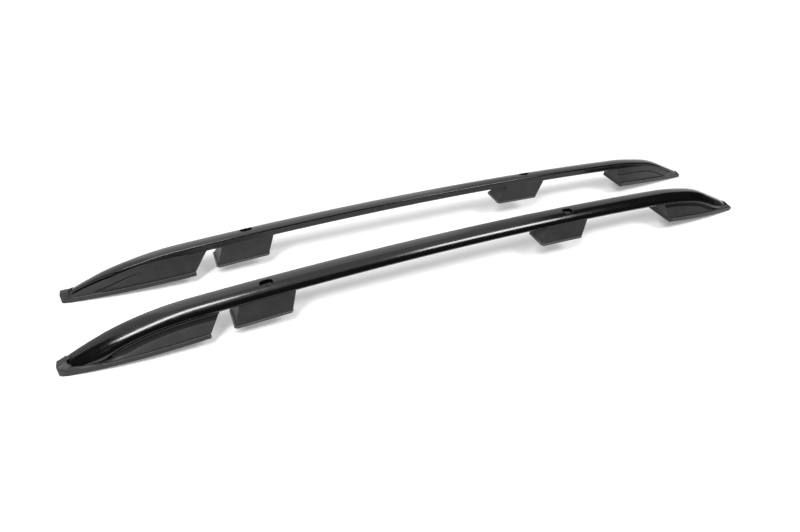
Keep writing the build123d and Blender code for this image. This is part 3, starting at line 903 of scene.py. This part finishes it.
def nose_levels(end, bar, foot, turn):
    """Corner rows of the nose: a wall on the sole's blunt tip, and a top up to a collar on the bar's end.

    Seen from above the tip is a superellipse between the two sides. The collar is the bar's outline,
    grown by the nose's thickness, which is less at the crown and more at the outer shoulder. The top
    is ruled from the wall's upper edge to the collar, and closes on one point inside the bar.
    """
    blunt = 2 / foot.nose_blunt
    cover = np.array(NOSE_COVERS[end])
    outside = turn < pi / 2
    step = cover * (1 - np.sin(turn) ** blunt)
    outer, inner = (sole_reach(end, step, side, foot.length) for side in (OUTER, INNER))
    reach = np.where(outside, outer, -inner) * np.abs(np.cos(turn)) ** (blunt / 2)
    arch, normal = collar_arch(end, bar, foot, turn)
    shoulder = np.where(outside, np.sin(2 * turn) ** 2, 0)
    thick = foot.nose_thickness * (1 - CROWN_THINNING * np.sin(turn) + SHOULDER_THICKENING * shoulder)
    collar = arch + normal * thick[:, None]
    sole = on_sole(end, foot, step, reach, 0)
    edge = on_sole(end, foot, step, reach, foot.flange_height)
    edge[:, 0] -= end * NOSE_LEAN * np.sin(turn) ** 2
    fall = collar[:, 2].max() - (cover - step) * tan(NOSE_FALLS[end])
    edge[:, 2] += np.maximum(fall - edge[:, 2], -foot.nose_dip) * np.sin(turn) ** NOSE_FALL_POWER
    under = on_sole(end, foot, np.full(len(turn), cover), 0 * turn, 0)
    ruled = [edge + (collar - edge) * share for share in NOSE_SHARES]
    sunk = [arch + normal * height for height in COLLAR_HEIGHTS]
    closing = np.broadcast_to(closing_line(end, cover, WallLines(end, cover, bar, foot), foot), arch.shape)
    rows = [under, under, under, sole, edge, *ruled, collar, *sunk, closing]
    rounding = np.zeros((len(turn), len(rows), 2))
    rounding[:, FLANGE_EDGE_ROW - 1] = SOLE_ROUND
    rounding[:, FLANGE_EDGE_ROW] = (NOSE_EDGE_ROUND + foot.nose_round * np.sin(turn))[:, None]
    rounding[:, FLANGE_EDGE_ROW + len(ruled) + 1] = NOSE_EDGE_ROUND
    return np.stack(rows, axis=1), rounding


def end_foot_mesh(end, bar, foot):
    """Points and faces of an end foot, and each face's material: a rounded profile carried round its outline.

    The outline runs from the heel along the outer side, round the nose, back along the inner side and
    across the heel. At each place the profile climbs from the hollow underside over the sole's edge,
    the flange, the panel and the rim, and ends inside the bar.
    """
    stations = FootStations(end, bar, foot)
    outer, outer_round, _ = side_levels(end, OUTER, stations, bar, foot)
    inner, inner_round, grooved = side_levels(end, INNER, stations, bar, foot)
    nose, nose_round = nose_levels(end, bar, foot, np.linspace(0, pi, NOSE_COLUMNS))
    part = np.linspace(0, 1, HEEL_COLUMNS)[1:-1, None, None]
    heel = inner[-1] + (outer[-1] - inner[-1]) * part
    heel_round = np.broadcast_to(outer_round[-1], (len(heel), *outer_round[-1].shape))
    loop = np.concatenate([outer[::-1], nose[1:-1], inner, heel])
    loop[..., 2] = np.maximum(loop[..., 2], 0)
    loop_round = np.concatenate([outer_round, nose_round[1:-1], inner_round, heel_round])
    grid = eased(loop, loop_round, CURVE_POINTS)
    shares = np.zeros((grid.shape[0], grid.shape[1] - 1))
    outside = slice(0, len(outer))
    inside = slice(len(outer) + len(nose) - 2, len(outer) + len(nose) - 2 + len(inner))
    clear = (stations.sole > sum(CREASE_START) / 2)[:, None]
    # Painted shade: the cove under the rim, the groove and the creases take a darker plastic where shade
    # falls.
    shares[outside, corner_faces(COVE_ROW, RIM_ROOT_ROW, before=2)] = PAINTED_SHADE * clear[::-1]
    shares[inside, corner_faces(GROOVE_ROW, GROOVE_ROW, before=1, after=1)] = PAINTED_SHADE * grooved[:, None]
    # Painted highlight: the flange's upper edge takes a paler plastic for its light line.
    highlight_faces = corner_faces(FLANGE_EDGE_ROW, FLANGE_EDGE_ROW)
    shares[outside, highlight_faces] = PAINTED_HIGHLIGHT_EDGE * clear[::-1]
    shares[inside.start :, highlight_faces] = PAINTED_HIGHLIGHT_EDGE
    crease = corner_faces(WALL_BASE_ROW, WALL_BASE_ROW, after=-1)
    shares[outside, crease] = PAINTED_SHADE * clear[::-1]
    shares[inside, crease] = PAINTED_SHADE * clear
    shares[inside.stop :, crease] = PAINTED_SHADE
    return grid.reshape(-1, 3), quads(ringed(numbered(grid))), shares.ravel()


# Middle feet
def box_loop(half_x, outer, inner, corner, straight):
    """A rectangle with cut corners as one loop: straight chamfers, or quarter circles.

    Every loop has the same number of points in each side and corner, so that loops at different
    levels match.
    """
    turns = np.linspace(0, pi / 2, BOX_CORNER_POINTS)
    if straight:
        bend = np.stack([1 - turns / (pi / 2), turns / (pi / 2)], axis=-1)
    else:
        bend = np.stack([np.cos(turns), np.sin(turns)], axis=-1)
    corners = []
    for sx, sy in ((1, 1), (-1, 1), (-1, -1), (1, -1)):
        points = (bend if sx == sy else bend[::-1]) * corner
        along = sx * (half_x - corner + points[:, 0])
        across = sy * ((inner if sy > 0 else outer) - corner + points[:, 1])
        corners.append(np.stack([along, across], axis=-1))
    part = np.linspace(0, 1, BOX_SIDE_POINTS)[1:-1, None]
    loop = []
    for here, following in zip(corners, corners[1:] + corners[:1]):
        loop += [here, here[-1] + (following[0] - here[-1]) * part]
    return np.concatenate(loop)


def mid_frame(place):
    """Base of a middle foot: its origin, its direction along the rail and its up direction."""
    x, height, slope = place
    along = np.array([cos(slope), 0, sin(slope)])
    return np.array([x, 0, height]), along, np.array([-sin(slope), 0, cos(slope)])


def mid_foot_mesh(place, foot):
    """Points and faces of a middle foot, and each face's material.

    Rounded levels of a leaning box stand on a chamfered flange. The box is hollow below, with a boss
    in it.
    """
    origin, along, up = mid_frame(place)
    bar_height = float(path(origin[0])[0][2]) - origin[2]
    half_width = foot.mid_width / 2

    def level(loop, rise):
        """A loop of along and across, at a rise over the base."""
        points = origin + loop[:, :1] * along + rise * up
        points[:, 1] += loop[:, 1]
        return points

    def box(rise, inset, corner):
        """The leaning box at a rise, drawn in by an inset."""
        lifted = max(rise - foot.mid_flange_height, 0)
        half = half_width - foot.mid_flange_lip - inset
        outer = half + foot.mid_outer_reach - lifted * tan(MID_OUTER_DRAFT)
        inner = half - lifted * tan(MID_INNER_DRAFT)
        loop = box_loop(foot.mid_length / 2 - foot.mid_flange_lip - inset, outer, inner, corner, False)
        loop[:, 0] += rise * tan(MID_LEAN)
        return level(loop, rise)

    def flange(rise):
        """The flange's chamfered outline at a rise."""
        outer = half_width + foot.mid_outer_reach
        return level(box_loop(foot.mid_length / 2, outer, half_width, foot.mid_chamfer, True), rise)

    ceiling = box(bar_height - MID_CEILING_DROP, MID_WALL, MID_HOLLOW_CORNER)
    top = box(bar_height - MID_TOP_DROP, 0, foot.mid_corner_radius)
    rows = [
        np.broadcast_to(ceiling.mean(axis=0), ceiling.shape),
        ceiling,
        box(0, MID_WALL, MID_HOLLOW_CORNER),
        flange(0),
        flange(foot.mid_flange_height),
        box(foot.mid_flange_height, 0, foot.mid_corner_radius),
        top,
        np.broadcast_to(top.mean(axis=0), top.shape),
    ]
    loop = np.stack(rows, axis=1)
    grid = eased(loop, np.broadcast_to(MID_ROUNDS, (len(loop), *MID_ROUNDS.shape)), CURVE_POINTS)
    boss = bolt_boss(place, bar_height)
    points = np.concatenate([grid.reshape(-1, 3), boss.reshape(-1, 3)])
    boss_faces = quads(ringed(numbered(boss)))
    faces = np.concatenate([quads(ringed(numbered(grid))), boss_faces + grid.shape[0] * grid.shape[1]])
    # Painted highlight: the flange's upper edge takes the paler plastic.
    highlight_faces = np.zeros((grid.shape[0], grid.shape[1] - 1))
    highlight_faces[:, corner_faces(FLANGE_EDGE_ROW, FLANGE_EDGE_ROW)] = 1
    return points, faces, np.concatenate([highlight_faces.ravel(), np.zeros(len(boss_faces))])


def bolt_boss(place, bar_height):
    """Grid of the bored boss in a middle foot's hollow: a profile turned about the roof bolt's axis."""
    origin, along, up = mid_frame(place)
    across = np.array([0, 1, 0])
    middle = origin + along * bar_height * tan(MID_LEAN) + across * BOLT_INSET
    turns = np.linspace(0, 2 * pi, BOSS_COLUMNS + 1)[:-1]
    top = bar_height - BOSS_DROP
    bore = [(BOLT_RADIUS, BOSS_LIFT), (BOLT_RADIUS, top)]
    profile = np.array([(BOLT_RADIUS, top), (BOSS_RADIUS, top), (BOSS_RADIUS, BOSS_LIFT), *bore])
    radius, rise = eased(profile, BOSS_ROUNDS, BOSS_CURVE_POINTS).T
    spokes = np.cos(turns)[:, None] * along + np.sin(turns)[:, None] * across
    return middle + spokes[:, None] * radius[None, :, None] + rise[None, :, None] * up


# Materials
def new_material(name):
    """A material with its node tree and its main shader."""
    material = bpy.data.materials.new(name)
    material.use_nodes = True
    tree = material.node_tree
    return material, tree, tree.nodes["Principled BSDF"]


def object_noise(tree, size, detail, roughness=0.55):
    """Noise of a given feature size on the piece's own coordinates."""
    place = tree.nodes.get("Texture Coordinate") or tree.nodes.new("ShaderNodeTexCoord")
    noise = tree.nodes.new("ShaderNodeTexNoise")
    noise.inputs["Scale"].default_value = 1 / size
    noise.inputs["Detail"].default_value = detail
    noise.inputs["Roughness"].default_value = roughness
    tree.links.new(place.outputs["Object"], noise.inputs["Vector"])
    return noise.outputs["Fac"]


def mapped(tree, value, low, high, from_low=0.3, from_high=0.7):
    """A value from one range to another."""
    node = tree.nodes.new("ShaderNodeMapRange")
    node.inputs["From Min"].default_value = from_low
    node.inputs["From Max"].default_value = from_high
    node.inputs["To Min"].default_value = low
    node.inputs["To Max"].default_value = high
    tree.links.new(value, node.inputs["Value"])
    return node.outputs["Result"]


def two_tone(tree, value, first, second):
    """Two colours mixed by a value."""
    mix = tree.nodes.new("ShaderNodeMix")
    mix.data_type = "RGBA"
    mix.inputs["A"].default_value = (*first, 1)
    mix.inputs["B"].default_value = (*second, 1)
    tree.links.new(value, mix.inputs["Factor"])
    return mix.outputs["Result"]


def bumped(tree, shader, heights):
    """Fine relief from a list of heights, each with its strength and depth."""
    below = None
    for value, strength, depth in heights:
        bump = tree.nodes.new("ShaderNodeBump")
        bump.inputs["Strength"].default_value = strength
        bump.inputs["Distance"].default_value = depth
        tree.links.new(value, bump.inputs["Height"])
        if below:
            tree.links.new(below, bump.inputs["Normal"])
        below = bump.outputs["Normal"]
    tree.links.new(below, shader.inputs["Normal"])


def finish_material(name, colour, tones, tone_noise, roughness, rough_noise, relief):
    """A finish with two tones of its colour, roughness between two values, and fine relief.

    tone_noise and rough_noise give the noise that mixes each pair: its feature size, its detail and,
    where it isn't the usual one, its roughness. relief lists noises in the same way, each followed by
    a strength and a depth.
    """
    material, tree, shader = new_material(name)
    low, high = ([tone * part for part in colour] for tone in tones)
    tone = mapped(tree, object_noise(tree, *tone_noise), 0, 1)
    tree.links.new(two_tone(tree, tone, low, high), shader.inputs["Base Color"])
    rough = mapped(tree, object_noise(tree, *rough_noise), *roughness)
    tree.links.new(rough, shader.inputs["Roughness"])
    heights = [(object_noise(tree, *noise), strength, depth) for *noise, strength, depth in relief]
    bumped(tree, shader, heights)
    return material, shader


def coated_bar_material(finish):
    """Gloss black coating: a faint ripple, fine specks, and gloss that varies a little."""
    roughness = (0.8 * finish.bar_roughness, 1.2 * finish.bar_roughness)
    ripple = (2.5 * MM, 1, 0.06, 0.05 * MM)
    specks = (0.5 * MM, 2, 0.05, 0.02 * MM)
    relief = [ripple, specks]
    material, shader = finish_material(
        "gloss_black_coating", finish.bar_colour, (0.75, 1), (30 * MM, 3), roughness, (12 * MM, 4), relief
    )
    shader.inputs["IOR"].default_value = 1.5
    return material


def moulded_foot_material(finish):
    """Matt moulded plastic: an eroded grain, faint cloudy tone and a roughness that follows the grain, higher
    on its high spots.
    """
    roughness = (finish.foot_roughness - 0.08, finish.foot_roughness + 0.08)
    grain = (0.7 * MM, 3, 0.6)
    relief = [(*grain, 0.35, 0.12 * MM)]
    material, shader = finish_material(
        "matt_black_plastic", finish.foot_colour, (0.82, 1.12), (25 * MM, 4), roughness, grain, relief
    )
    shader.inputs["Specular IOR Level"].default_value = finish.foot_gloss
    return material


def painted_shade_material(finish):
    """Painted shade: a darker plastic with a finer relief, in the cove under the rim, the groove and the
    creases, where shade falls.
    """
    relief = [(0.6 * MM, 2, 0.1, 0.05 * MM)]
    material, shader = finish_material(
        "painted_shade_plastic", finish.painted_shade_colour, (0.8, 1), (20 * MM, 3), (0.45, 0.6), (6 * MM, 3), relief
    )
    shader.inputs["Specular IOR Level"].default_value = 0.15
    return material


def highlight_edge_material(finish):
    """Painted highlight: the feet's plastic on the flanges' upper edges, paler and a little glossier, for the
    light line along them.
    """
    relief = [(0.7 * MM, 3, 0.15, 0.08 * MM)]
    material, _ = finish_material(
        "highlight_edge_plastic", finish.highlight_edge_colour, (0.75, 1), (8 * MM, 4), (0.35, 0.5), (2 * MM, 3), relief
    )
    return material


def zinc_screw_material(finish):
    """Zinc-plated steel with fine scratches and a mottled gloss."""
    mottle = (3 * MM, 4)
    scratches = (0.4 * MM, 2, 0.1, 0.02 * MM)
    material, shader = finish_material(
        "zinc_plated_steel", finish.screw_colour, (0.8, 1), mottle, (0.28, 0.45), mottle, [scratches]
    )
    shader.inputs["Metallic"].default_value = 1.0
    return material


# Studio
def seen_light(tree):
    """1 for camera, glossy and transmission rays, 0 for the rays that light other things."""
    rays = tree.nodes.new("ShaderNodeLightPath").outputs
    seen = rays["Is Camera Ray"]
    for name in ("Is Glossy Ray", "Is Transmission Ray"):
        either = tree.nodes.new("ShaderNodeMath")
        either.operation = "MAXIMUM"
        tree.links.new(seen, either.inputs[0])
        tree.links.new(rays[name], either.inputs[1])
        seen = either.outputs[0]
    return seen


def flat_panel(name, corners):
    """A flat panel with four corners, in the scene."""
    mesh = bpy.data.meshes.new(name)
    mesh.from_pydata(corners, [], [(0, 1, 2, 3)])
    panel = bpy.data.objects.new(name, mesh)
    bpy.context.scene.collection.objects.link(panel)
    return panel


def make_floor(studio):
    """A wide pale floor that keeps the shadows. It glows up to white with the distance from the rails."""
    corners = [(FLOOR_REACH * x, FLOOR_REACH * y, 0) for x, y in ((-1, -1), (1, -1), (1, 1), (-1, 1))]
    floor = flat_panel("studio_floor", corners)
    material, tree, shader = new_material("white_floor")
    shader.inputs["Base Color"].default_value = (*studio.floor_colour, 1)
    shader.inputs["Roughness"].default_value = 1.0
    shader.inputs["Specular IOR Level"].default_value = 0.0
    shader.inputs["Emission Color"].default_value = (1, 1, 1, 1)
    place = tree.nodes.new("ShaderNodeTexCoord")
    distance = tree.nodes.new("ShaderNodeVectorMath")
    distance.operation = "LENGTH"
    tree.links.new(place.outputs["Object"], distance.inputs[0])
    glow = mapped(tree, distance.outputs["Value"], studio.floor_glow, studio.far_glow, *FLOOR_GLOW_GROWS)
    seen = tree.nodes.new("ShaderNodeMath")
    seen.operation = "MULTIPLY"
    tree.links.new(glow, seen.inputs[0])
    tree.links.new(seen_light(tree), seen.inputs[1])
    tree.links.new(seen.outputs[0], shader.inputs["Emission Strength"])
    floor.data.materials.append(material)


def make_card(name, corners):
    """A black card that only glossy surfaces mirror: the camera misses it, and it takes no light away."""
    card = flat_panel(name, corners)
    material, _, shader = new_material(name)
    shader.inputs["Base Color"].default_value = CARD_COLOUR
    shader.inputs["Specular IOR Level"].default_value = 0.0
    card.data.materials.append(material)
    card.visible_camera = False
    card.visible_diffuse = False
    card.visible_shadow = False


def make_softbox(name, first, last, distance, width, brightness):
    """A long lamp that faces the rails, between two directions, with a given brightness of its face."""
    first, last = Vector(first).normalized(), Vector(last).normalized()
    away = (first + last).normalized()
    along = (last - first).normalized()
    length = (last - first).length * distance
    light = bpy.data.lights.new(name, "AREA")
    light.shape = "RECTANGLE"
    light.size = length
    light.size_y = width
    light.energy = brightness * pi * length * width
    lamp = bpy.data.objects.new(name, light)
    pose = Matrix((along, away.cross(along), away)).transposed().to_4x4()
    pose.translation = away * distance
    lamp.matrix_world = pose
    lamp.visible_camera = False
    bpy.context.scene.collection.objects.link(lamp)


def make_world(studio):
    """White surroundings as they are seen, and a lower even light from them."""
    world = bpy.data.worlds.new("studio_world")
    bpy.context.scene.world = world
    world.use_nodes = True
    tree = world.node_tree
    back = tree.nodes["Background"]
    back.inputs["Color"].default_value = (1, 1, 1, 1)
    level = mapped(tree, seen_light(tree), studio.ambient, 1.0, 0.0, 1.0)
    tree.links.new(level, back.inputs["Strength"])


def make_camera():
    """The camera at the photograph's viewing angle, from its three directions and its place."""
    camera = bpy.data.cameras.new("photo_camera")
    camera.sensor_width = CAMERA_SENSOR
    camera.lens = CAMERA_LENS
    view = bpy.data.objects.new("photo_camera", camera)
    pose = Matrix((CAMERA_RIGHT, CAMERA_UP, CAMERA_BACK)).transposed().to_4x4()
    pose.translation = CAMERA_PLACE
    view.matrix_world = pose
    bpy.context.scene.collection.objects.link(view)
    bpy.context.scene.camera = view


def length_property(name, description, millimetres):
    """A size in millimetres."""
    size = millimetres * MM
    return FloatProperty(name=name, description=description, default=size, min=0, unit="LENGTH", precision=5)


def colour_property(name, description, colour):
    """A linear colour."""
    return FloatVectorProperty(name=name, description=description, default=colour, subtype="COLOR")


def share_property(name, description, share):
    """A share from 0 to 1."""
    return FloatProperty(name=name, description=description, default=share, subtype="FACTOR")


def light_property(name, description, level):
    """A level of light, where 1 is white."""
    return FloatProperty(name=name, description=description, default=level)


class RailBarSizes(bpy.types.PropertyGroup):
    """Sizes of the bars"""

    width: length_property("Width", "Long axis of the bar's oval section", 42)
    depth: length_property("Depth", "Short axis of the bar's oval section", 24)
    wall: length_property("Wall", "Thickness of the tube's wall", 2.5)
    edge_radius: length_property("Edge radius", "Radius of the bar's round outer edge", 8)
    edge_sag: length_property("Edge sag", "How far the outer edge swells downward", 2.6)
    tilt: FloatProperty(
        name="Tilt",
        description="Turn of the oval section, outer edge down",
        default=radians(15.2),
        unit="ROTATION",
    )
    lip_drop: length_property("Lip drop", "Height of the lip along the inner side", 3)
    lip_overhang: length_property("Lip overhang", "How far the lip stands out", 0.7)
    lip_depth: length_property("Lip depth", "Depth of the step under the lip", 1.3)
    inner_wall_draft: length_property("Inner wall draft", "How far the inner wall draws in downward", 1.4)
    slot_length: length_property("Slot length", "Length of a bolt access slot", 25)
    slot_width: length_property("Slot width", "Width of a bolt access slot", 14.5)
    slot_depth: length_property("Slot depth", "Depth of a slot down to the bolt's seat", 10)
    slot_edge_radius: length_property("Slot edge", "Rounding of a slot's edge", 0.8)


class RailFootSizes(bpy.types.PropertyGroup):
    """Sizes of the end and middle feet"""

    length: length_property("End foot length", "From the tip to the heel", 254.5)
    flange_height: length_property("Flange height", "Height of an end foot's flange", 10.5)
    flange_ledge: length_property("Flange ledge", "Width of the ledge on the flange", 3)
    rim_height: length_property("Rim height", "Thickness of the rim along the bar", 2)
    rim_proud: length_property("Rim proud", "How far the rim stands out", 1.8)
    cove_height: length_property("Cove height", "Height of the hollow under the rim", 7.5)
    cove_depth: length_property("Cove depth", "Depth of the hollow under the rim", 0.9)
    strip_proud: length_property("Strip proud", "How far the inner strip flares out under the lip", 1.0)
    groove_width: length_property("Groove width", "Width of the groove on the inner side", 3)
    groove_depth: length_property("Groove depth", "Depth of the groove on the inner side", 2.2)
    heel_chamfer: length_property("Heel chamfer", "Cut corners of the flange's heel", 2.5)
    heel_round: length_property("Heel rounding", "Rounding of the heel's upright edges", 2.5)
    nose_thickness: length_property("Nose thickness", "Step from the nose down to the bar", 2.6)
    nose_round: length_property("Nose rounding", "Rounding of the nose's upper edge", 4.5)
    gap_inset: length_property("Gap inset", "Width of a rim's top before the gap along the bar", 0.6)
    gap_depth: length_property("Gap depth", "Depth of the gap between a rim and the bar", 5)
    nose_dip: length_property("Nose dip", "How far a steep nose may fall below the flange", 4)
    hollow_wall: length_property("Hollow wall", "Rim of the sole round the hollow underside", 9)
    nose_blunt: FloatProperty(name="Nose bluntness", description="2 is round, more is squarer", default=3.5)
    bar_end_round: length_property("Bar end rounding", "Rounding of the drawn-in bar ends", 5)
    mid_length: length_property("Middle foot length", "Length of a middle foot's base", 112)
    mid_width: length_property("Middle foot width", "Width of a middle foot's base", 53)
    mid_outer_reach: length_property("Middle outer reach", "How much further it reaches outward", 3.8)
    mid_chamfer: length_property("Middle foot chamfer", "Cut corners of a middle foot's base", 4.5)
    mid_flange_height: length_property("Middle flange height", "Height of a middle foot's flange", 4)
    mid_flange_lip: length_property("Middle flange lip", "How far a middle foot's flange stands out", 2.5)
    mid_corner_radius: length_property("Middle foot corner", "Radius of a middle foot's upright edges", 1.6)


class RailFinish(bpy.types.PropertyGroup):
    """Colours and gloss"""

    bar_colour: colour_property("Bar colour", "Black of the coating", (0.004, 0.004, 0.0043))
    bar_roughness: share_property("Bar roughness", "Lower is glossier", 0.16)
    foot_colour: colour_property("Foot colour", "Black of the plastic", (0.030, 0.030, 0.0307))
    foot_roughness: share_property("Foot roughness", "Lower is glossier", 0.46)
    # Painted shade: the colour of the cove under the rim, the groove and the creases
    painted_shade_colour: colour_property("Painted shade colour", "Painted shade under the rim, in the groove and creases", (0.008, 0.008, 0.0082))
    # Painted highlight: the paler colour of the flanges' upper edges
    highlight_edge_colour: colour_property("Highlight edge colour", "Painted highlight on the flanges' edges", (0.085, 0.085, 0.0865))
    foot_gloss: share_property("Foot gloss", "Share of mirrored light", 0.27)
    screw_colour: colour_property("Screw colour", "Zinc plating", (0.55, 0.55, 0.53))


class RailStudio(bpy.types.PropertyGroup):
    """Floor and light"""

    floor_colour: colour_property("Floor colour", "Pale floor", (0.76, 0.76, 0.76))
    floor_glow: light_property("Floor glow", "White added to the floor near the rails", 0.25)
    far_glow: light_property("Far glow", "White added to the floor far from the rails", 0.9)
    ambient: light_property("Ambient", "Even light from the surroundings", 0.3)
    back_softbox: light_property("Back softbox", "Brightness of the large back softbox", 0.8)
    softbox: light_property("Softbox", "Brightness of the two front softboxes", 24.0)


class RAIL_OT_bars(bpy.types.Operator):
    """Build the two bars"""

    bl_idname = "rail.bars"
    bl_label = "Bars"

    def execute(self, context):
        scene = context.scene
        material = coated_bar_material(scene.rail_finish)
        points, faces = bar_mesh(scene.rail_bar, scene.rail_feet)
        make_pair("bar", "coated", points, faces, [material], np.zeros(len(faces)))
        return {"FINISHED"}


class RAIL_OT_end_feet(bpy.types.Operator):
    """Build the four end feet"""

    bl_idname = "rail.end_feet"
    bl_label = "End feet"

    def execute(self, context):
        scene = context.scene
        finish = scene.rail_finish
        # The second material is painted shade, the third a painted highlight on the flange's edge.
        materials = [moulded_foot_material(finish), painted_shade_material(finish), highlight_edge_material(finish)]
        for end, name in ((FRONT, "front_end_foot"), (REAR, "rear_end_foot")):
            points, faces, shares = end_foot_mesh(end, scene.rail_bar, scene.rail_feet)
            make_pair(name, "moulded", points, faces, materials, shares)
        return {"FINISHED"}


class RAIL_OT_mid_feet(bpy.types.Operator):
    """Build the four middle feet"""

    bl_idname = "rail.mid_feet"
    bl_label = "Middle feet"

    def execute(self, context):
        scene = context.scene
        # The second material is the painted highlight on the flange's edge.
        materials = [bpy.data.materials["matt_black_plastic"], bpy.data.materials["highlight_edge_plastic"]]
        for name, place in MID_PLACES.items():
            points, faces, shares = mid_foot_mesh(place, scene.rail_feet)
            make_pair(name, "moulded", points, faces, materials, shares)
        return {"FINISHED"}


class RAIL_OT_screws(bpy.types.Operator):
    """Give the screws under the feet their zinc plating"""

    bl_idname = "rail.screws"
    bl_label = "Screws"

    def execute(self, context):
        material = zinc_screw_material(context.scene.rail_finish)
        for name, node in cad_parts.items():
            if name.endswith("_screws"):
                node.data.materials.clear()
                node.data.materials.append(material)
        return {"FINISHED"}


class RAIL_OT_stage(bpy.types.Operator):
    """Set up the floor, the lights and the camera"""

    bl_idname = "rail.stage"
    bl_label = "Stage"

    def execute(self, context):
        studio = context.scene.rail_studio
        make_floor(studio)
        make_world(studio)
        for name, corners in CARDS.items():
            make_card(name, corners)
        for name, (first, last, distance, width) in SOFTBOXES.items():
            brightness = studio.back_softbox if name == "back_softbox" else studio.softbox
            make_softbox(name, first, last, distance, width, brightness)
        make_camera()
        context.scene.view_settings.view_transform = "Standard"
        return {"FINISHED"}


class RAIL_PT_rails(bpy.types.Panel):
    """Sizes, colours and steps of the rail pair"""

    bl_idname = "RAIL_PT_rails"
    bl_label = "Roof side rails"
    bl_space_type = "VIEW_3D"
    bl_region_type = "UI"
    bl_category = "Roof rails"

    def draw(self, context):
        scene = context.scene
        for group in (scene.rail_bar, scene.rail_feet, scene.rail_finish, scene.rail_studio):
            box = self.layout.box()
            box.label(text=group.bl_rna.description)
            for name in group.bl_rna.properties.keys():
                if name not in ("rna_type", "name"):
                    box.prop(group, name)
        for operator in OPERATORS:
            self.layout.operator(operator.bl_idname)


OPERATORS = (RAIL_OT_bars, RAIL_OT_end_feet, RAIL_OT_mid_feet, RAIL_OT_screws, RAIL_OT_stage)
GROUPS = {
    "rail_bar": RailBarSizes,
    "rail_feet": RailFootSizes,
    "rail_finish": RailFinish,
    "rail_studio": RailStudio,
}


def register():
    for group in GROUPS.values():
        bpy.utils.register_class(group)
    for name, group in GROUPS.items():
        setattr(bpy.types.Scene, name, PointerProperty(type=group))
    for item in (*OPERATORS, RAIL_PT_rails):
        bpy.utils.register_class(item)


def unregister():
    for item in (RAIL_PT_rails, *reversed(OPERATORS)):
        bpy.utils.unregister_class(item)
    for name, group in GROUPS.items():
        delattr(bpy.types.Scene, name)
        bpy.utils.unregister_class(group)


def main():
    register()
    bpy.ops.rail.bars()
    bpy.ops.rail.end_feet()
    bpy.ops.rail.mid_feet()
    bpy.ops.rail.screws()
    bpy.ops.rail.stage()


if __name__ == "__main__":
    main()
